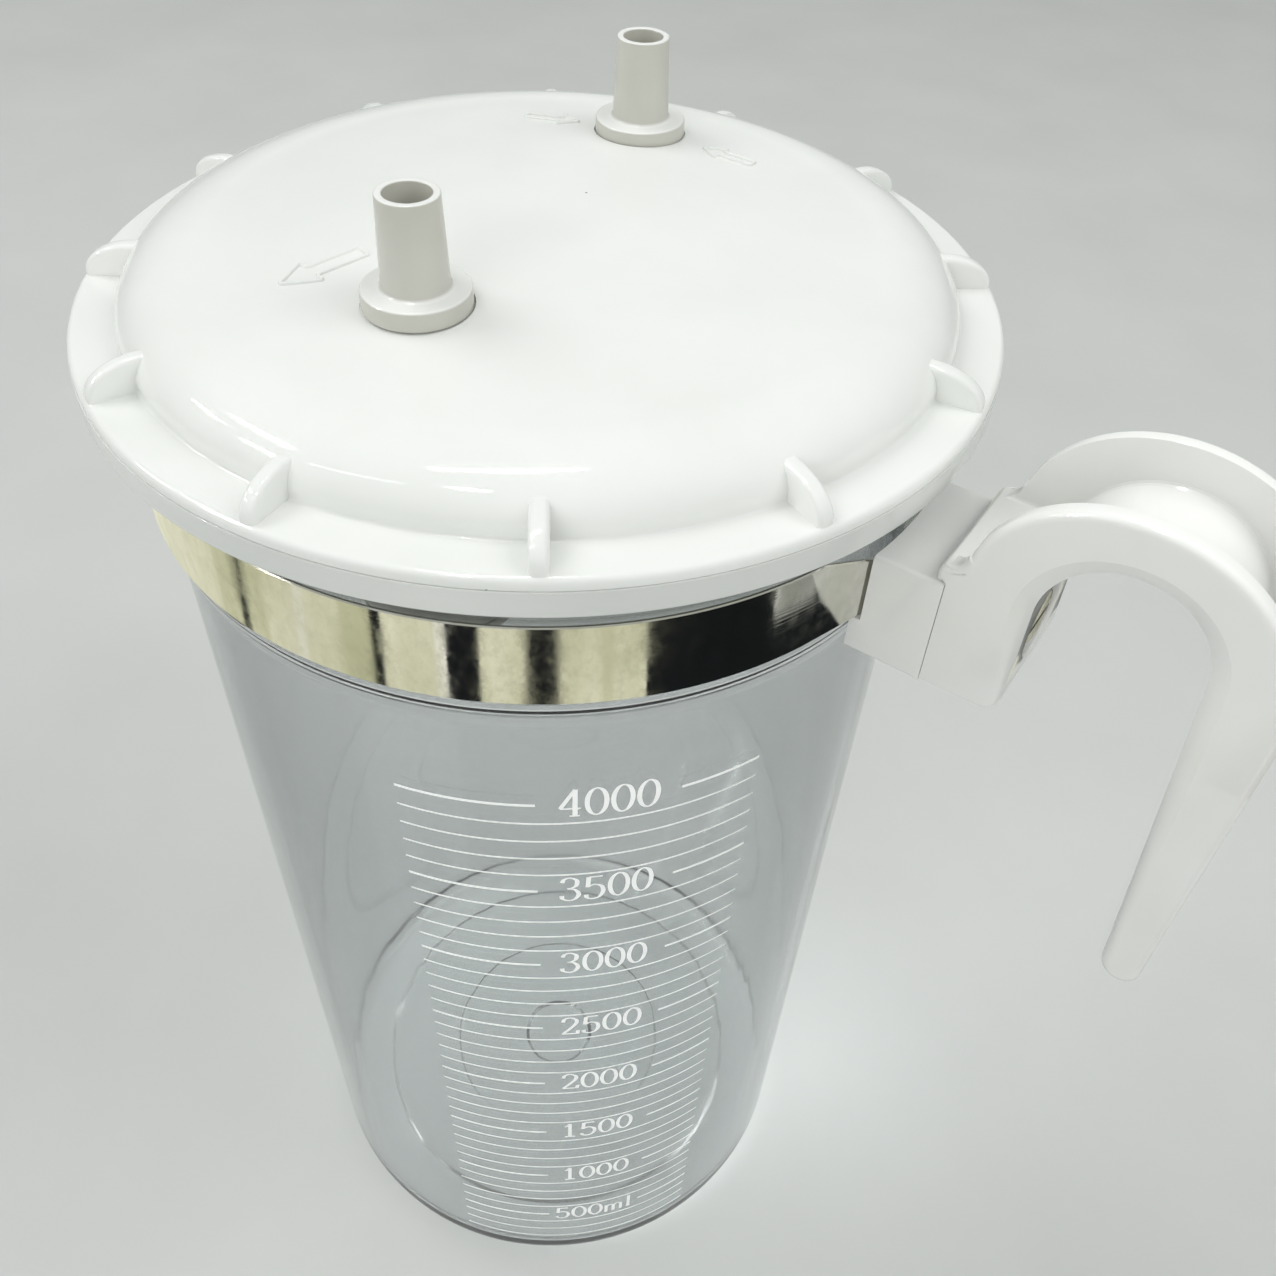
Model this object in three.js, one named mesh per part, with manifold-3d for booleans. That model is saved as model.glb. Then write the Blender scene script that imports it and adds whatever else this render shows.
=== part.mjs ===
// Suction collection jar with push-in lid, overflow float valve and rail hook.
// Millimetres, +Z up. The origin is the centre of the jar's foot, and the rail hook stands out along +X.
import * as THREE from "three";
import { mergeVertices } from "three/addons/utils/BufferGeometryUtils.js";
import Module from "manifold-3d";

const wasm = await Module();
wasm.setup();

// ---------- Driving dimensions ----------

const GAP = 0.3; // clearance between neighbouring pieces
const OVERRUN = 1; // how far a cutting tool, or a piece to be joined, runs past the face it meets
const ROUND = 48; // facets of the large turned pieces
const SMALL_ROUND = 24; // facets of the small turned pieces

const JAR = {
  baseRadius: 75.7,
  draft: 0.0101, // growth of the radius per millimetre of height
  wall: 2.5,
  cornerRadius: 5,
  footInnerRadius: 60,
  footRecess: 1.6,
  footSlope: 1,
  padRadius: 12, // pad at the centre, level with the foot
  ringRadius: 36, // step ring under the floor
  ringDepth: 0.6,
  floorTop: 4.5,
  beadHeight: 257.1, // where the wall steps out to the collar
  beadRise: 1.4,
  collarRadius: 79.9,
  mouthRadius: 77.5,
  flangeRadius: 87.5,
  flangeBottom: 291.4,
  flangeFillet: 1,
  mouthChamfer: 0.6,
  top: 296.5,
};

const LID = {
  brimRadius: 87.3,
  brimThickness: 2,
  brimEdge: 1,
  domeRadius: 78.6,
  wallTop: 300, // the shoulder starts here
  shoulderWidth: 16,
  shoulderHeight: 9,
  crownRise: 2.5,
  thickness: 2.8,
  plugRadius: 77,
  plugInnerRadius: 72.6,
  plugBottom: 284.5,
  plugChamfer: 0.6,
  grooveBottom: 287,
  grooveTop: 291,
  grooveRadius: 75,
  turn: 6.8, // degrees from the hook to the first grip fin
};

const FIN = {
  count: 12,
  thickness: 3.2,
  buriedRadius: 75.5, // inner end, inside the dome's wall
  root: 77, // centre of the fin's curved edge
  reach: 9,
  foot: 299.2,
  height: 5.7,
  sink: 0.2, // into the brim
};

const SEAL = { innerRadius: 75.3, outerRadius: 77.2, chamfer: 0.6 };

const PORT = {
  bore: 4,
  shankRadius: 5.5,
  flangeRadius: 9.4,
  flangeThickness: 3.5,
  rootRadius: 5.9,
  tipRadius: 5.3,
  height: 19.8, // from the seat to the hose end
  inletShank: 10.3,
  outletShank: 17,
  gasketRadius: 7.3,
  gasketThickness: 0.9,
  nutAcrossFlats: 17,
  nutThickness: 4,
  edge: 0.4, // chamfers and the fillet at the tube's root
  bossRadius: 10.5,
  bossTop: 1.5, // below the seat
  bossBottom: 5, // below the seat
};

const OUTLET = { radius: 37.6, angle: -87, seat: 310.1 };
const INLET = { radius: 47.6, angle: 102.9, seat: 309.4 };

const CAGE = {
  outerRadius: 16,
  innerRadius: 13.6,
  headThickness: 3,
  bottom: 250,
  windowWidth: 14,
  windowBottom: 258,
  windowTop: 288,
  baseThickness: 2.7,
  spigotHeight: 3,
  drainRadius: 5,
};

const FLOAT = {
  radius: 12.6,
  wall: 1.5,
  topThickness: 2,
  topChamfer: 1.5,
  height: 26,
  pinRadius: 2.5,
  pinHeight: 2.2,
  padRadius: 8,
  padThickness: 2.5,
};

const BAND = {
  thickness: 0.8,
  outerRadius: 81,
  bottom: 265.5,
  top: 283.1,
  tabTop: 278,
  leaves: 17.9, // degrees from the hook where the strip leaves the collar
  tabOffset: 12.2, // centre plane to the tab's outer face
  tabEnd: 88.8,
  hookLength: 3.7,
};

const BLOCK = {
  halfWidth: 14,
  bottom: 257,
  top: 280,
  innerEnd: 70, // before the block is hollowed to fit round the jar
  outerFace: 94,
  bandClearRadius: 82.3,
  lipRadius: 80.3,
  lipTop: 264.7,
  pocketHalfWidth: 12.6,
  pocketEnd: 90.5,
  pocketTop: 278.5,
};

const NUT_PLATE = { inner: 84.2, outer: 87.6, halfWidth: 10.9, bottom: 265.8, top: 277.7 };

const SCREW = {
  height: 270.5, // of its axis
  radius: 2.95,
  holeRadius: 3.3,
  tip: 81.6,
  headRadius: 5.5,
  headThickness: 3.8,
  slotWidth: 1.4,
  slotDepth: 1.6,
  recessRadius: 7.5,
  recessFloor: 101,
  washerRadius: 6.5,
  washerThickness: 1.2,
  lockWasherRadius: 5.2,
  lockWasherThickness: 1.5,
  lockWasherSplit: 1,
};

const HOOK = {
  halfWidth: 14,
  wall: 3.4,
  bottom: 257.8,
  base: 108.8, // face that bears on the rail
  cornerRadius: 3,
  lip: 92.2,
  lipEdge: 1,
  innerX: 122.9,
  innerZ: 281,
  innerRadius: 14.1,
  outerX: 121.7,
  outerZ: 277,
  outerRadius: 28.7,
  riseX: 96.5, // where the side walls rise from the base
  tipInner: 143,
  tipHeight: 209.5,
  tipRadius: 3.75,
  saddle: 283.8, // top of the base, and floor of the channel
  web: 3, // between the hollow and the inside of the bend
  channelEnd: 213.5,
};

// ---------- Materials ----------

const plastic = (color, roughness) => new THREE.MeshStandardMaterial({ color, roughness, metalness: 0 });
const metal = (color, roughness) => new THREE.MeshStandardMaterial({ color, roughness, metalness: 1 });

const whiteAbs = () => plastic(0xf1f2ee, 0.22);
const naturalPlastic = () => plastic(0xe4e2d8, 0.4);
const darkRubber = () => plastic(0x3a3b3d, 0.85);
const steel = () => metal(0xb9b9b4, 0.25);

function clearPolycarbonate() {
  const material = plastic(0xdfe6e4, 0.05);
  material.transparent = true;
  material.opacity = 0.3;
  return material;
}

// ---------- Solids ----------

function solidOf(geometry) {
  const bare = geometry.clone();
  bare.deleteAttribute("normal");
  bare.deleteAttribute("uv");
  const merged = mergeVertices(bare, 1e-4);
  const index = merged.index.array;
  const corners = [];
  for (let i = 0; i < index.length; i += 3) {
    const [a, b, c] = [index[i], index[i + 1], index[i + 2]];
    if (a !== b && b !== c && c !== a) corners.push(a, b, c);
  }
  return new wasm.Manifold(
    new wasm.Mesh({
      numProp: 3,
      vertProperties: new Float32Array(merged.attributes.position.array),
      triVerts: new Uint32Array(corners),
    }),
  );
}

function geometryOf(solid) {
  const mesh = solid.getMesh();
  const geometry = new THREE.BufferGeometry();
  geometry.setAttribute("position", new THREE.BufferAttribute(mesh.vertProperties, 3));
  geometry.setIndex(new THREE.BufferAttribute(mesh.triVerts, 1));
  geometry.computeVertexNormals();
  return geometry;
}

const cut = (solid, ...tools) => tools.reduce((left, tool) => left.subtract(tool), solid);
const join = (solid, ...others) => others.reduce((all, other) => all.add(other), solid);

function node(name, solid, material) {
  const mesh = new THREE.Mesh(geometryOf(solid), material);
  mesh.name = name;
  return mesh;
}

// A solid turned about Z from [radius, height] points that run round its section anticlockwise.
function turned(points, facets) {
  const closed = [...points, points[0]].map(([r, z]) => new THREE.Vector2(r, z));
  return solidOf(new THREE.LatheGeometry(closed, facets).rotateX(Math.PI / 2));
}

const ring = (inner, outer, bottom, top, facets = SMALL_ROUND) =>
  turned([[inner, bottom], [outer, bottom], [outer, top], [inner, top]], facets);

function post(radius, bottom, top, facets = SMALL_ROUND) {
  const geometry = new THREE.CylinderGeometry(radius, radius, top - bottom, facets);
  return solidOf(geometry.rotateX(Math.PI / 2).translate(0, 0, (bottom + top) / 2));
}

// A round bar along X at the clamp screw's height.
function screwBar(radius, from, to, facets = SMALL_ROUND) {
  const geometry = new THREE.CylinderGeometry(radius, radius, to - from, facets);
  return solidOf(geometry.rotateZ(-Math.PI / 2).translate((from + to) / 2, 0, SCREW.height));
}

function box(x0, x1, y0, y1, z0, z1) {
  const geometry = new THREE.BoxGeometry(x1 - x0, y1 - y0, z1 - z0);
  return solidOf(geometry.translate((x0 + x1) / 2, (y0 + y1) / 2, (z0 + z1) / 2));
}

// A side view outline in x and z, thickened to y = -half .. +half.
function sideProfile(shape, half) {
  const geometry = new THREE.ExtrudeGeometry(shape, { depth: 2 * half, bevelEnabled: false });
  return solidOf(geometry.rotateX(Math.PI / 2).translate(0, half, 0));
}

// Points on an ellipse arc, from one angle to the other, both ends included.
function arc(x, z, radiusX, radiusZ, fromDegrees, toDegrees, steps) {
  return Array.from({ length: steps + 1 }, (_, i) => {
    const angle = THREE.MathUtils.degToRad(fromDegrees + ((toDegrees - fromDegrees) * i) / steps);
    return [x + radiusX * Math.cos(angle), z + radiusZ * Math.sin(angle)];
  });
}

const shapeOf = (points) => new THREE.Shape(points.map(([x, y]) => new THREE.Vector2(x, y)));

// ---------- Jar ----------

const jarRadius = (height) => JAR.baseRadius + JAR.draft * height;

function jarSolid() {
  const corner = JAR.cornerRadius;
  const inner = (height) => jarRadius(height) - JAR.wall;
  const neck = JAR.beadHeight + JAR.beadRise;
  const recessTop = JAR.footRecess + JAR.ringDepth;
  return turned(
    [
      [0, 0],
      [JAR.padRadius - JAR.footSlope, 0],
      [JAR.padRadius, recessTop],
      [JAR.ringRadius - JAR.ringDepth, recessTop],
      [JAR.ringRadius, JAR.footRecess],
      [JAR.footInnerRadius - JAR.footSlope, JAR.footRecess],
      [JAR.footInnerRadius, 0],
      ...arc(jarRadius(corner) - corner, corner, corner, corner, -90, 0, 4),
      [jarRadius(JAR.beadHeight), JAR.beadHeight],
      [JAR.collarRadius, neck],
      [JAR.collarRadius, JAR.flangeBottom - JAR.flangeFillet],
      [JAR.collarRadius + JAR.flangeFillet, JAR.flangeBottom],
      [JAR.flangeRadius, JAR.flangeBottom],
      [JAR.flangeRadius, JAR.top],
      [JAR.mouthRadius + JAR.mouthChamfer, JAR.top],
      [JAR.mouthRadius, JAR.top - JAR.mouthChamfer],
      [JAR.mouthRadius, neck + JAR.beadRise],
      [inner(JAR.beadHeight), JAR.beadHeight],
      ...arc(inner(corner) - corner, JAR.floorTop + corner, corner, corner, 0, -90, 3),
      [0, JAR.floorTop],
    ],
    ROUND,
  );
}

// ---------- Lid ----------

const brimBottom = JAR.top + GAP;
const brimTop = brimBottom + LID.brimThickness;
const plateauRadius = LID.domeRadius - LID.shoulderWidth;
const plateauHeight = LID.wallTop + LID.shoulderHeight;

const crownHeight = (radius) => plateauHeight + LID.crownRise * (1 - (radius / plateauRadius) ** 2);
const crownRadii = [plateauRadius / 3, (2 * plateauRadius) / 3];

function lidShell() {
  const inner = LID.plugInnerRadius;
  return turned(
    [
      [0, crownHeight(0) - LID.thickness],
      ...crownRadii.map((r) => [r, crownHeight(r) - LID.thickness]),
      ...arc(plateauRadius, LID.wallTop, inner - plateauRadius, LID.shoulderHeight - LID.thickness, 90, 0, 4),
      [inner, LID.plugBottom],
      [LID.plugRadius - LID.plugChamfer, LID.plugBottom],
      [LID.plugRadius, LID.plugBottom + LID.plugChamfer],
      [LID.plugRadius, LID.grooveBottom],
      [LID.grooveRadius, LID.grooveBottom],
      [LID.grooveRadius, LID.grooveTop],
      [LID.plugRadius, LID.grooveTop],
      [LID.plugRadius, brimBottom],
      [LID.brimRadius, brimBottom],
      ...arc(LID.brimRadius - LID.brimEdge, brimTop - LID.brimEdge, LID.brimEdge, LID.brimEdge, 0, 90, 2),
      [LID.domeRadius, brimTop],
      ...arc(plateauRadius, LID.wallTop, LID.shoulderWidth, LID.shoulderHeight, 0, 90, 7),
      ...crownRadii.map((r) => [r, crownHeight(r)]).reverse(),
      [0, crownHeight(0)],
    ],
    ROUND,
  );
}

function gripFin(index) {
  const bottom = brimTop - FIN.sink;
  const outline = [
    [FIN.buriedRadius, bottom],
    [FIN.root + FIN.reach, bottom],
    ...arc(FIN.root, FIN.foot, FIN.reach, FIN.height, 0, 90, 5),
    [FIN.buriedRadius, FIN.foot + FIN.height],
  ];
  const turn = LID.turn + (360 / FIN.count) * index;
  return sideProfile(shapeOf(outline), FIN.thickness / 2).rotate([0, 0, turn]);
}

function portPlace({ radius, angle, seat }) {
  const turn = THREE.MathUtils.degToRad(angle);
  return [radius * Math.cos(turn), radius * Math.sin(turn), seat];
}

function lidSolid() {
  const fins = Array.from({ length: FIN.count }, (_, i) => gripFin(i));
  const clear = LID.crownRise + OVERRUN;
  const boss = post(PORT.bossRadius, -PORT.bossBottom, -PORT.bossTop);
  const hole = post(PORT.shankRadius + GAP, -PORT.bossBottom - OVERRUN, clear);
  const gasketSeat = post(PORT.gasketRadius + GAP, -PORT.gasketThickness - GAP, clear);
  const spotFace = post(PORT.flangeRadius + GAP, 0, clear);
  const ports = [OUTLET, INLET].map(portPlace);
  const bossed = join(lidShell(), ...fins, ...ports.map((at) => boss.translate(at)));
  return cut(bossed, ...ports.flatMap((at) => [hole, gasketSeat, spotFace].map((tool) => tool.translate(at))));
}

function sealSolid() {
  const [bottom, top] = [LID.grooveBottom + GAP, LID.grooveTop - GAP];
  const { innerRadius, outerRadius, chamfer } = SEAL;
  return turned(
    [
      [innerRadius, bottom],
      [outerRadius - chamfer, bottom],
      [outerRadius, bottom + chamfer],
      [outerRadius, top - chamfer],
      [outerRadius - chamfer, top],
      [innerRadius, top],
    ],
    ROUND,
  );
}

// ---------- Hose ports: heights are measured from the seat on the lid ----------

function portSolid(shankLength) {
  const flangeTop = GAP + PORT.flangeThickness;
  return turned(
    [
      [PORT.bore, -shankLength],
      [PORT.shankRadius, -shankLength],
      [PORT.shankRadius, GAP],
      [PORT.flangeRadius, GAP],
      [PORT.flangeRadius, flangeTop - PORT.edge],
      [PORT.flangeRadius - PORT.edge, flangeTop],
      [PORT.rootRadius + PORT.edge, flangeTop],
      [PORT.rootRadius, flangeTop + PORT.edge],
      [PORT.tipRadius, PORT.height - PORT.edge],
      [PORT.tipRadius - PORT.edge, PORT.height],
      [PORT.bore, PORT.height],
    ],
    SMALL_ROUND,
  );
}

const portGasketSolid = () =>
  ring(PORT.shankRadius + GAP, PORT.gasketRadius, -PORT.gasketThickness, 0);

function portNutSolid() {
  const top = -PORT.bossBottom - GAP;
  const bottom = top - PORT.nutThickness;
  const cornerRadius = PORT.nutAcrossFlats / Math.sqrt(3);
  const bore = post(PORT.shankRadius + GAP, bottom - OVERRUN, top + OVERRUN);
  return cut(post(cornerRadius, bottom, top, 6), bore);
}

// ---------- Overflow float valve, on the outlet's axis ----------

const nutBottom = OUTLET.seat - PORT.bossBottom - GAP - PORT.nutThickness;
const cageTop = nutBottom - GAP;
const valveSeat = OUTLET.seat - PORT.outletShank;
const floatBottom = CAGE.bottom + CAGE.spigotHeight + GAP;
const floatTop = floatBottom + FLOAT.height;

function cageSolid() {
  const head = cageTop - CAGE.headThickness;
  const shell = turned(
    [
      [PORT.shankRadius + GAP, head],
      [CAGE.innerRadius, head],
      [CAGE.innerRadius, CAGE.bottom],
      [CAGE.outerRadius, CAGE.bottom],
      [CAGE.outerRadius, cageTop],
      [PORT.shankRadius + GAP, cageTop],
    ],
    SMALL_ROUND,
  );
  const reach = CAGE.outerRadius + OVERRUN;
  const half = CAGE.windowWidth / 2;
  const window = box(-reach, reach, -half, half, CAGE.windowBottom, CAGE.windowTop);
  return cut(shell, window.rotate([0, 0, 45]), window.rotate([0, 0, 135]));
}

function cageBaseSolid() {
  const top = CAGE.bottom - GAP;
  const spigot = CAGE.innerRadius - GAP;
  return turned(
    [
      [CAGE.drainRadius, top - CAGE.baseThickness],
      [CAGE.outerRadius, top - CAGE.baseThickness],
      [CAGE.outerRadius, top],
      [spigot, top],
      [spigot, CAGE.bottom + CAGE.spigotHeight],
      [CAGE.drainRadius, CAGE.bottom + CAGE.spigotHeight],
    ],
    SMALL_ROUND,
  );
}

function floatSolid() {
  const { radius, wall, topThickness, topChamfer, pinRadius, pinHeight } = FLOAT;
  return turned(
    [
      [0, floatTop - topThickness],
      [radius - wall, floatTop - topThickness],
      [radius - wall, floatBottom],
      [radius, floatBottom],
      [radius, floatTop - topChamfer],
      [radius - topChamfer, floatTop],
      [pinRadius, floatTop],
      [pinRadius, floatTop + pinHeight],
      [0, floatTop + pinHeight],
    ],
    SMALL_ROUND,
  );
}

const floatPadSolid = () =>
  ring(FLOAT.pinRadius + GAP, FLOAT.padRadius, floatTop + GAP, floatTop + GAP + FLOAT.padThickness);

// ---------- Clamp band, block and screw ----------

// Plan view of one end of the strip: off the collar on a tangent, out into the block, and folded in.
function bandEnd(thicknessIn, side) {
  const radius = BAND.outerRadius - thicknessIn;
  const leave = THREE.MathUtils.degToRad(BAND.leaves);
  const offset = BAND.tabOffset - thicknessIn;
  const bendX = (radius - offset * Math.sin(leave)) / Math.cos(leave);
  const end = BAND.tabEnd - thicknessIn;
  const hookTip = BAND.tabOffset - BAND.hookLength;
  return [
    [bendX, side * offset],
    [end, side * offset],
    [end, side * hookTip],
  ];
}

function bandSolid() {
  const { thickness, outerRadius, leaves, bottom, top, tabTop } = BAND;
  const sweep = (radius) => arc(0, 0, radius, radius, leaves, 360 - leaves, ROUND);
  const outline = [
    ...bandEnd(0, 1).reverse(),
    ...sweep(outerRadius),
    ...bandEnd(0, -1),
    ...bandEnd(thickness, -1).reverse(),
    ...sweep(outerRadius - thickness).reverse(),
    ...bandEnd(thickness, 1),
  ];
  const strip = new THREE.ExtrudeGeometry(shapeOf(outline), { depth: top - bottom, bevelEnabled: false });
  const leaveY = outerRadius * Math.sin(THREE.MathUtils.degToRad(leaves));
  const taper = [
    [-leaveY, top],
    [-BAND.tabOffset, tabTop],
    [BAND.tabOffset, tabTop],
    [leaveY, top],
    [leaveY, top + OVERRUN],
    [-leaveY, top + OVERRUN],
  ];
  const depth = BLOCK.outerFace - BLOCK.innerEnd;
  const notch = new THREE.ExtrudeGeometry(shapeOf(taper), { depth, bevelEnabled: false });
  notch.rotateX(Math.PI / 2).rotateZ(Math.PI / 2).translate(BLOCK.innerEnd, 0, 0);
  return cut(solidOf(strip.translate(0, 0, bottom)), solidOf(notch));
}

function blockSolid() {
  const { halfWidth, bottom, top, innerEnd, outerFace, lipTop } = BLOCK;
  const { pocketHalfWidth, pocketEnd, pocketTop } = BLOCK;
  const body = box(innerEnd, outerFace, -halfWidth, halfWidth, bottom, top);
  const collar = post(BLOCK.lipRadius, bottom - OVERRUN, lipTop + OVERRUN, 4 * ROUND);
  const band = post(BLOCK.bandClearRadius, lipTop, top + OVERRUN, 4 * ROUND);
  const pocket = box(innerEnd, pocketEnd, -pocketHalfWidth, pocketHalfWidth, lipTop, pocketTop);
  const hole = screwBar(SCREW.holeRadius, pocketEnd - OVERRUN, outerFace + OVERRUN);
  return cut(body, collar, band, pocket, hole);
}

function nutPlateSolid() {
  const { inner, outer, halfWidth, bottom, top } = NUT_PLATE;
  const plate = box(inner, outer, -halfWidth, halfWidth, bottom, top);
  return cut(plate, screwBar(SCREW.holeRadius, inner - OVERRUN, outer + OVERRUN));
}

const washerInner = SCREW.recessFloor + GAP;
const lockWasherInner = washerInner + SCREW.washerThickness + GAP;
const headInner = lockWasherInner + SCREW.lockWasherThickness + GAP;

function washerSolid(inner, radius, thickness) {
  const disc = screwBar(radius, inner, inner + thickness);
  return cut(disc, screwBar(SCREW.holeRadius, inner - OVERRUN, inner + thickness + OVERRUN));
}

const flatWasherSolid = () => washerSolid(washerInner, SCREW.washerRadius, SCREW.washerThickness);

// The spring washer is split at the top, and lies flat because the screw is tight.
function lockWasherSolid() {
  const { lockWasherRadius, lockWasherThickness, lockWasherSplit, height } = SCREW;
  const whole = washerSolid(lockWasherInner, lockWasherRadius, lockWasherThickness);
  const [from, to] = [lockWasherInner - OVERRUN, lockWasherInner + lockWasherThickness + OVERRUN];
  const half = lockWasherSplit / 2;
  return cut(whole, box(from, to, -half, half, height, height + lockWasherRadius + OVERRUN));
}

function screwSolid() {
  const { tip, radius, headRadius, headThickness, slotWidth, slotDepth, height } = SCREW;
  const headOuter = headInner + headThickness;
  const shank = screwBar(radius, tip, headInner + OVERRUN);
  const head = screwBar(headRadius, headInner, headOuter);
  const half = slotWidth / 2;
  const across = headRadius + OVERRUN;
  const slot = box(headOuter - slotDepth, headOuter + OVERRUN, -across, across, height - half, height + half);
  return cut(join(shank, head), slot);
}

// ---------- Rail hook ----------

const hookPlane = BLOCK.outerFace + GAP;

function hookOutline() {
  const { base, bottom, cornerRadius, innerX, innerZ, innerRadius, outerX, outerZ, outerRadius } = HOOK;
  const { tipInner, tipHeight, tipRadius, lip, lipEdge, riseX, saddle } = HOOK;
  const lipBottom = BLOCK.top + GAP;
  const crest = outerZ + outerRadius;
  return [
    [hookPlane, bottom],
    ...arc(base - cornerRadius, bottom + cornerRadius, cornerRadius, cornerRadius, -90, 0, 4),
    ...arc(innerX, innerZ, innerRadius, innerRadius, 180, 4, 14),
    ...arc(tipInner + tipRadius, tipHeight, tipRadius, tipRadius, 184, 360, 8),
    ...arc(outerX, outerZ, outerRadius, outerRadius, 0, 90, 10),
    ...arc(outerX, saddle, outerX - riseX, crest - saddle, 90, 180, 10).slice(1),
    [lip + lipEdge, saddle],
    [lip, saddle - lipEdge],
    [lip, lipBottom],
    [hookPlane, lipBottom],
  ];
}

// The hollow between the hook's two side walls, open to the outside of the bend.
function hookChannel() {
  const { halfWidth, wall, web, innerX, innerZ, innerRadius, tipInner, saddle, channelEnd } = HOOK;
  const floorRadius = innerRadius + web;
  const meetsSaddle = 180 - THREE.MathUtils.radToDeg(Math.asin((saddle - innerZ) / floorRadius));
  const inside = HOOK.lip - OVERRUN;
  const outside = HOOK.outerX + HOOK.outerRadius + OVERRUN;
  const above = HOOK.outerZ + HOOK.outerRadius + OVERRUN;
  const outline = [
    [inside, saddle],
    ...arc(innerX, innerZ, floorRadius, floorRadius, meetsSaddle, 4, 12),
    [tipInner + web, channelEnd],
    [outside, channelEnd],
    [outside, above],
    [inside, above],
  ];
  return sideProfile(shapeOf(outline), halfWidth - wall);
}

function hookSolid() {
  const bar = sideProfile(shapeOf(hookOutline()), HOOK.halfWidth);
  const recess = screwBar(SCREW.recessRadius, SCREW.recessFloor, HOOK.base + OVERRUN);
  const hole = screwBar(SCREW.holeRadius, hookPlane - OVERRUN, SCREW.recessFloor + OVERRUN);
  return cut(bar, hookChannel(), recess, hole);
}

// ---------- Assembly ----------

function placed(at, ...meshes) {
  const group = new THREE.Group();
  group.position.set(...at);
  group.add(...meshes);
  return group;
}

function valveGroup() {
  const [x, y] = portPlace(OUTLET);
  return placed(
    [x, y, 0],
    node("float_cage", cageSolid(), naturalPlastic()),
    node("float_cage_base", cageBaseSolid(), naturalPlastic()),
    node("float", floatSolid(), plastic(0xf3f1ea, 0.35)),
    node("float_pad", floatPadSolid(), darkRubber()),
  );
}

function portGroup(name, place, shankLength) {
  return placed(
    portPlace(place),
    node(name, portSolid(shankLength), whiteAbs()),
    node(name + "_gasket", portGasketSolid(), darkRubber()),
    node(name + "_nut", portNutSolid(), naturalPlastic()),
  );
}

const part = new THREE.Group();
part.add(
  node("jar", jarSolid(), clearPolycarbonate()),
  node("lid", lidSolid(), whiteAbs()),
  node("lid_seal", sealSolid(), darkRubber()),
  portGroup("outlet_port", OUTLET, PORT.outletShank),
  portGroup("inlet_port", INLET, PORT.inletShank),
  valveGroup(),
  node("clamp_band", bandSolid(), steel()),
  node("clamp_block", blockSolid(), whiteAbs()),
  node("nut_plate", nutPlateSolid(), steel()),
  node("flat_washer", flatWasherSolid(), steel()),
  node("lock_washer", lockWasherSolid(), steel()),
  node("clamp_screw", screwSolid(), steel()),
  node("rail_hook", hookSolid(), whiteAbs()),
);

export default part;
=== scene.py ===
"""Looks of the suction collection jar: clear jar, glossy white lid, polished clamp band and rail hook.

Sizes are in millimetres, in the frame of the CAD model, and are turned into metres when a mesh is made.
"""

from math import asin, cos, degrees, hypot, pi, radians, sin, sqrt, tan

import bmesh
import bpy
from mathutils import Matrix, Vector


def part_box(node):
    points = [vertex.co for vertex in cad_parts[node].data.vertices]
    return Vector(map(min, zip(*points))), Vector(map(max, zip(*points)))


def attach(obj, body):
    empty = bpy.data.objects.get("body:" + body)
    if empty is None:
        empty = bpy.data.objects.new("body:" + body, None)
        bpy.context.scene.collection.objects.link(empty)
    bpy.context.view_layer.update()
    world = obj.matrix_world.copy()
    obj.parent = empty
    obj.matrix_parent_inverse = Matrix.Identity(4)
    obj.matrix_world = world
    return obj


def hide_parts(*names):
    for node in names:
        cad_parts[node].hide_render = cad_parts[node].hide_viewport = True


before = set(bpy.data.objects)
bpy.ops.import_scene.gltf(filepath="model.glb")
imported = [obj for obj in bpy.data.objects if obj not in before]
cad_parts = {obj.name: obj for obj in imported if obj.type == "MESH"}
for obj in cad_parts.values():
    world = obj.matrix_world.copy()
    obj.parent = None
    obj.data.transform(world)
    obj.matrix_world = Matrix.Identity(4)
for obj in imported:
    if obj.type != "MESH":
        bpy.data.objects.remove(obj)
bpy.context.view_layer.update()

MM = 0.001
TAU = 2 * pi
FINE = 192  # facets of the large turned pieces
SMALL = 72  # facets of the small turned pieces
GAP = 0.3  # clearance between neighbouring pieces


def node_box(name):
    """Lowest and highest corner of a CAD node, in millimetres."""
    low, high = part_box(name)
    return low / MM, high / MM


def middle(name):
    low, high = node_box(name)
    return (low + high) / 2


# ---------- Where the CAD pieces are ----------

JAR_HIGH = node_box("jar")[1]
LID_LOW, LID_HIGH = node_box("lid")
HOOK_LOW, HOOK_HIGH = node_box("rail_hook")
BLOCK_LOW, BLOCK_HIGH = node_box("clamp_block")
BAND_LOW, BAND_HIGH = node_box("clamp_band")
SCREW_LOW, SCREW_HIGH = node_box("clamp_screw")
CAGE_LOW, CAGE_HIGH = node_box("float_cage")
OUTLET = middle("outlet_port")
INLET = middle("inlet_port")
SCREW_Z = middle("clamp_screw").z

# ---------- Jar ----------

WALL_RADIUS = 75.7  # at the foot
DRAFT = 0.0101  # growth of the radius per millimetre of height
WALL = 2.5
CORNER = 5
FLOOR_TOP = 4.5
PAD_RADIUS = 11  # pad at the centre of the foot
HOLLOW = 2.2  # height of the hollow round the pad
SHALLOW = 1.6  # height of the shallower hollow outside it
STEP_RADIUS = 36  # where the hollows meet
FOOT_RADIUS = 60  # inside of the ring that the jar stands on
BEAD = 257.1  # where the wall steps out to the collar
INNER_BEAD = BEAD + 2  # the same on the inside
BEAD_STEP = 0.3
BEAD_SPREAD = 5
BEAD_FILLET = 4
COLLAR_RADIUS = 79.9
MOUTH_RADIUS = 77.5
FLANGE_BOTTOM = 291.4
FLANGE_RADIUS = JAR_HIGH.x

# ---------- Lid ----------

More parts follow.
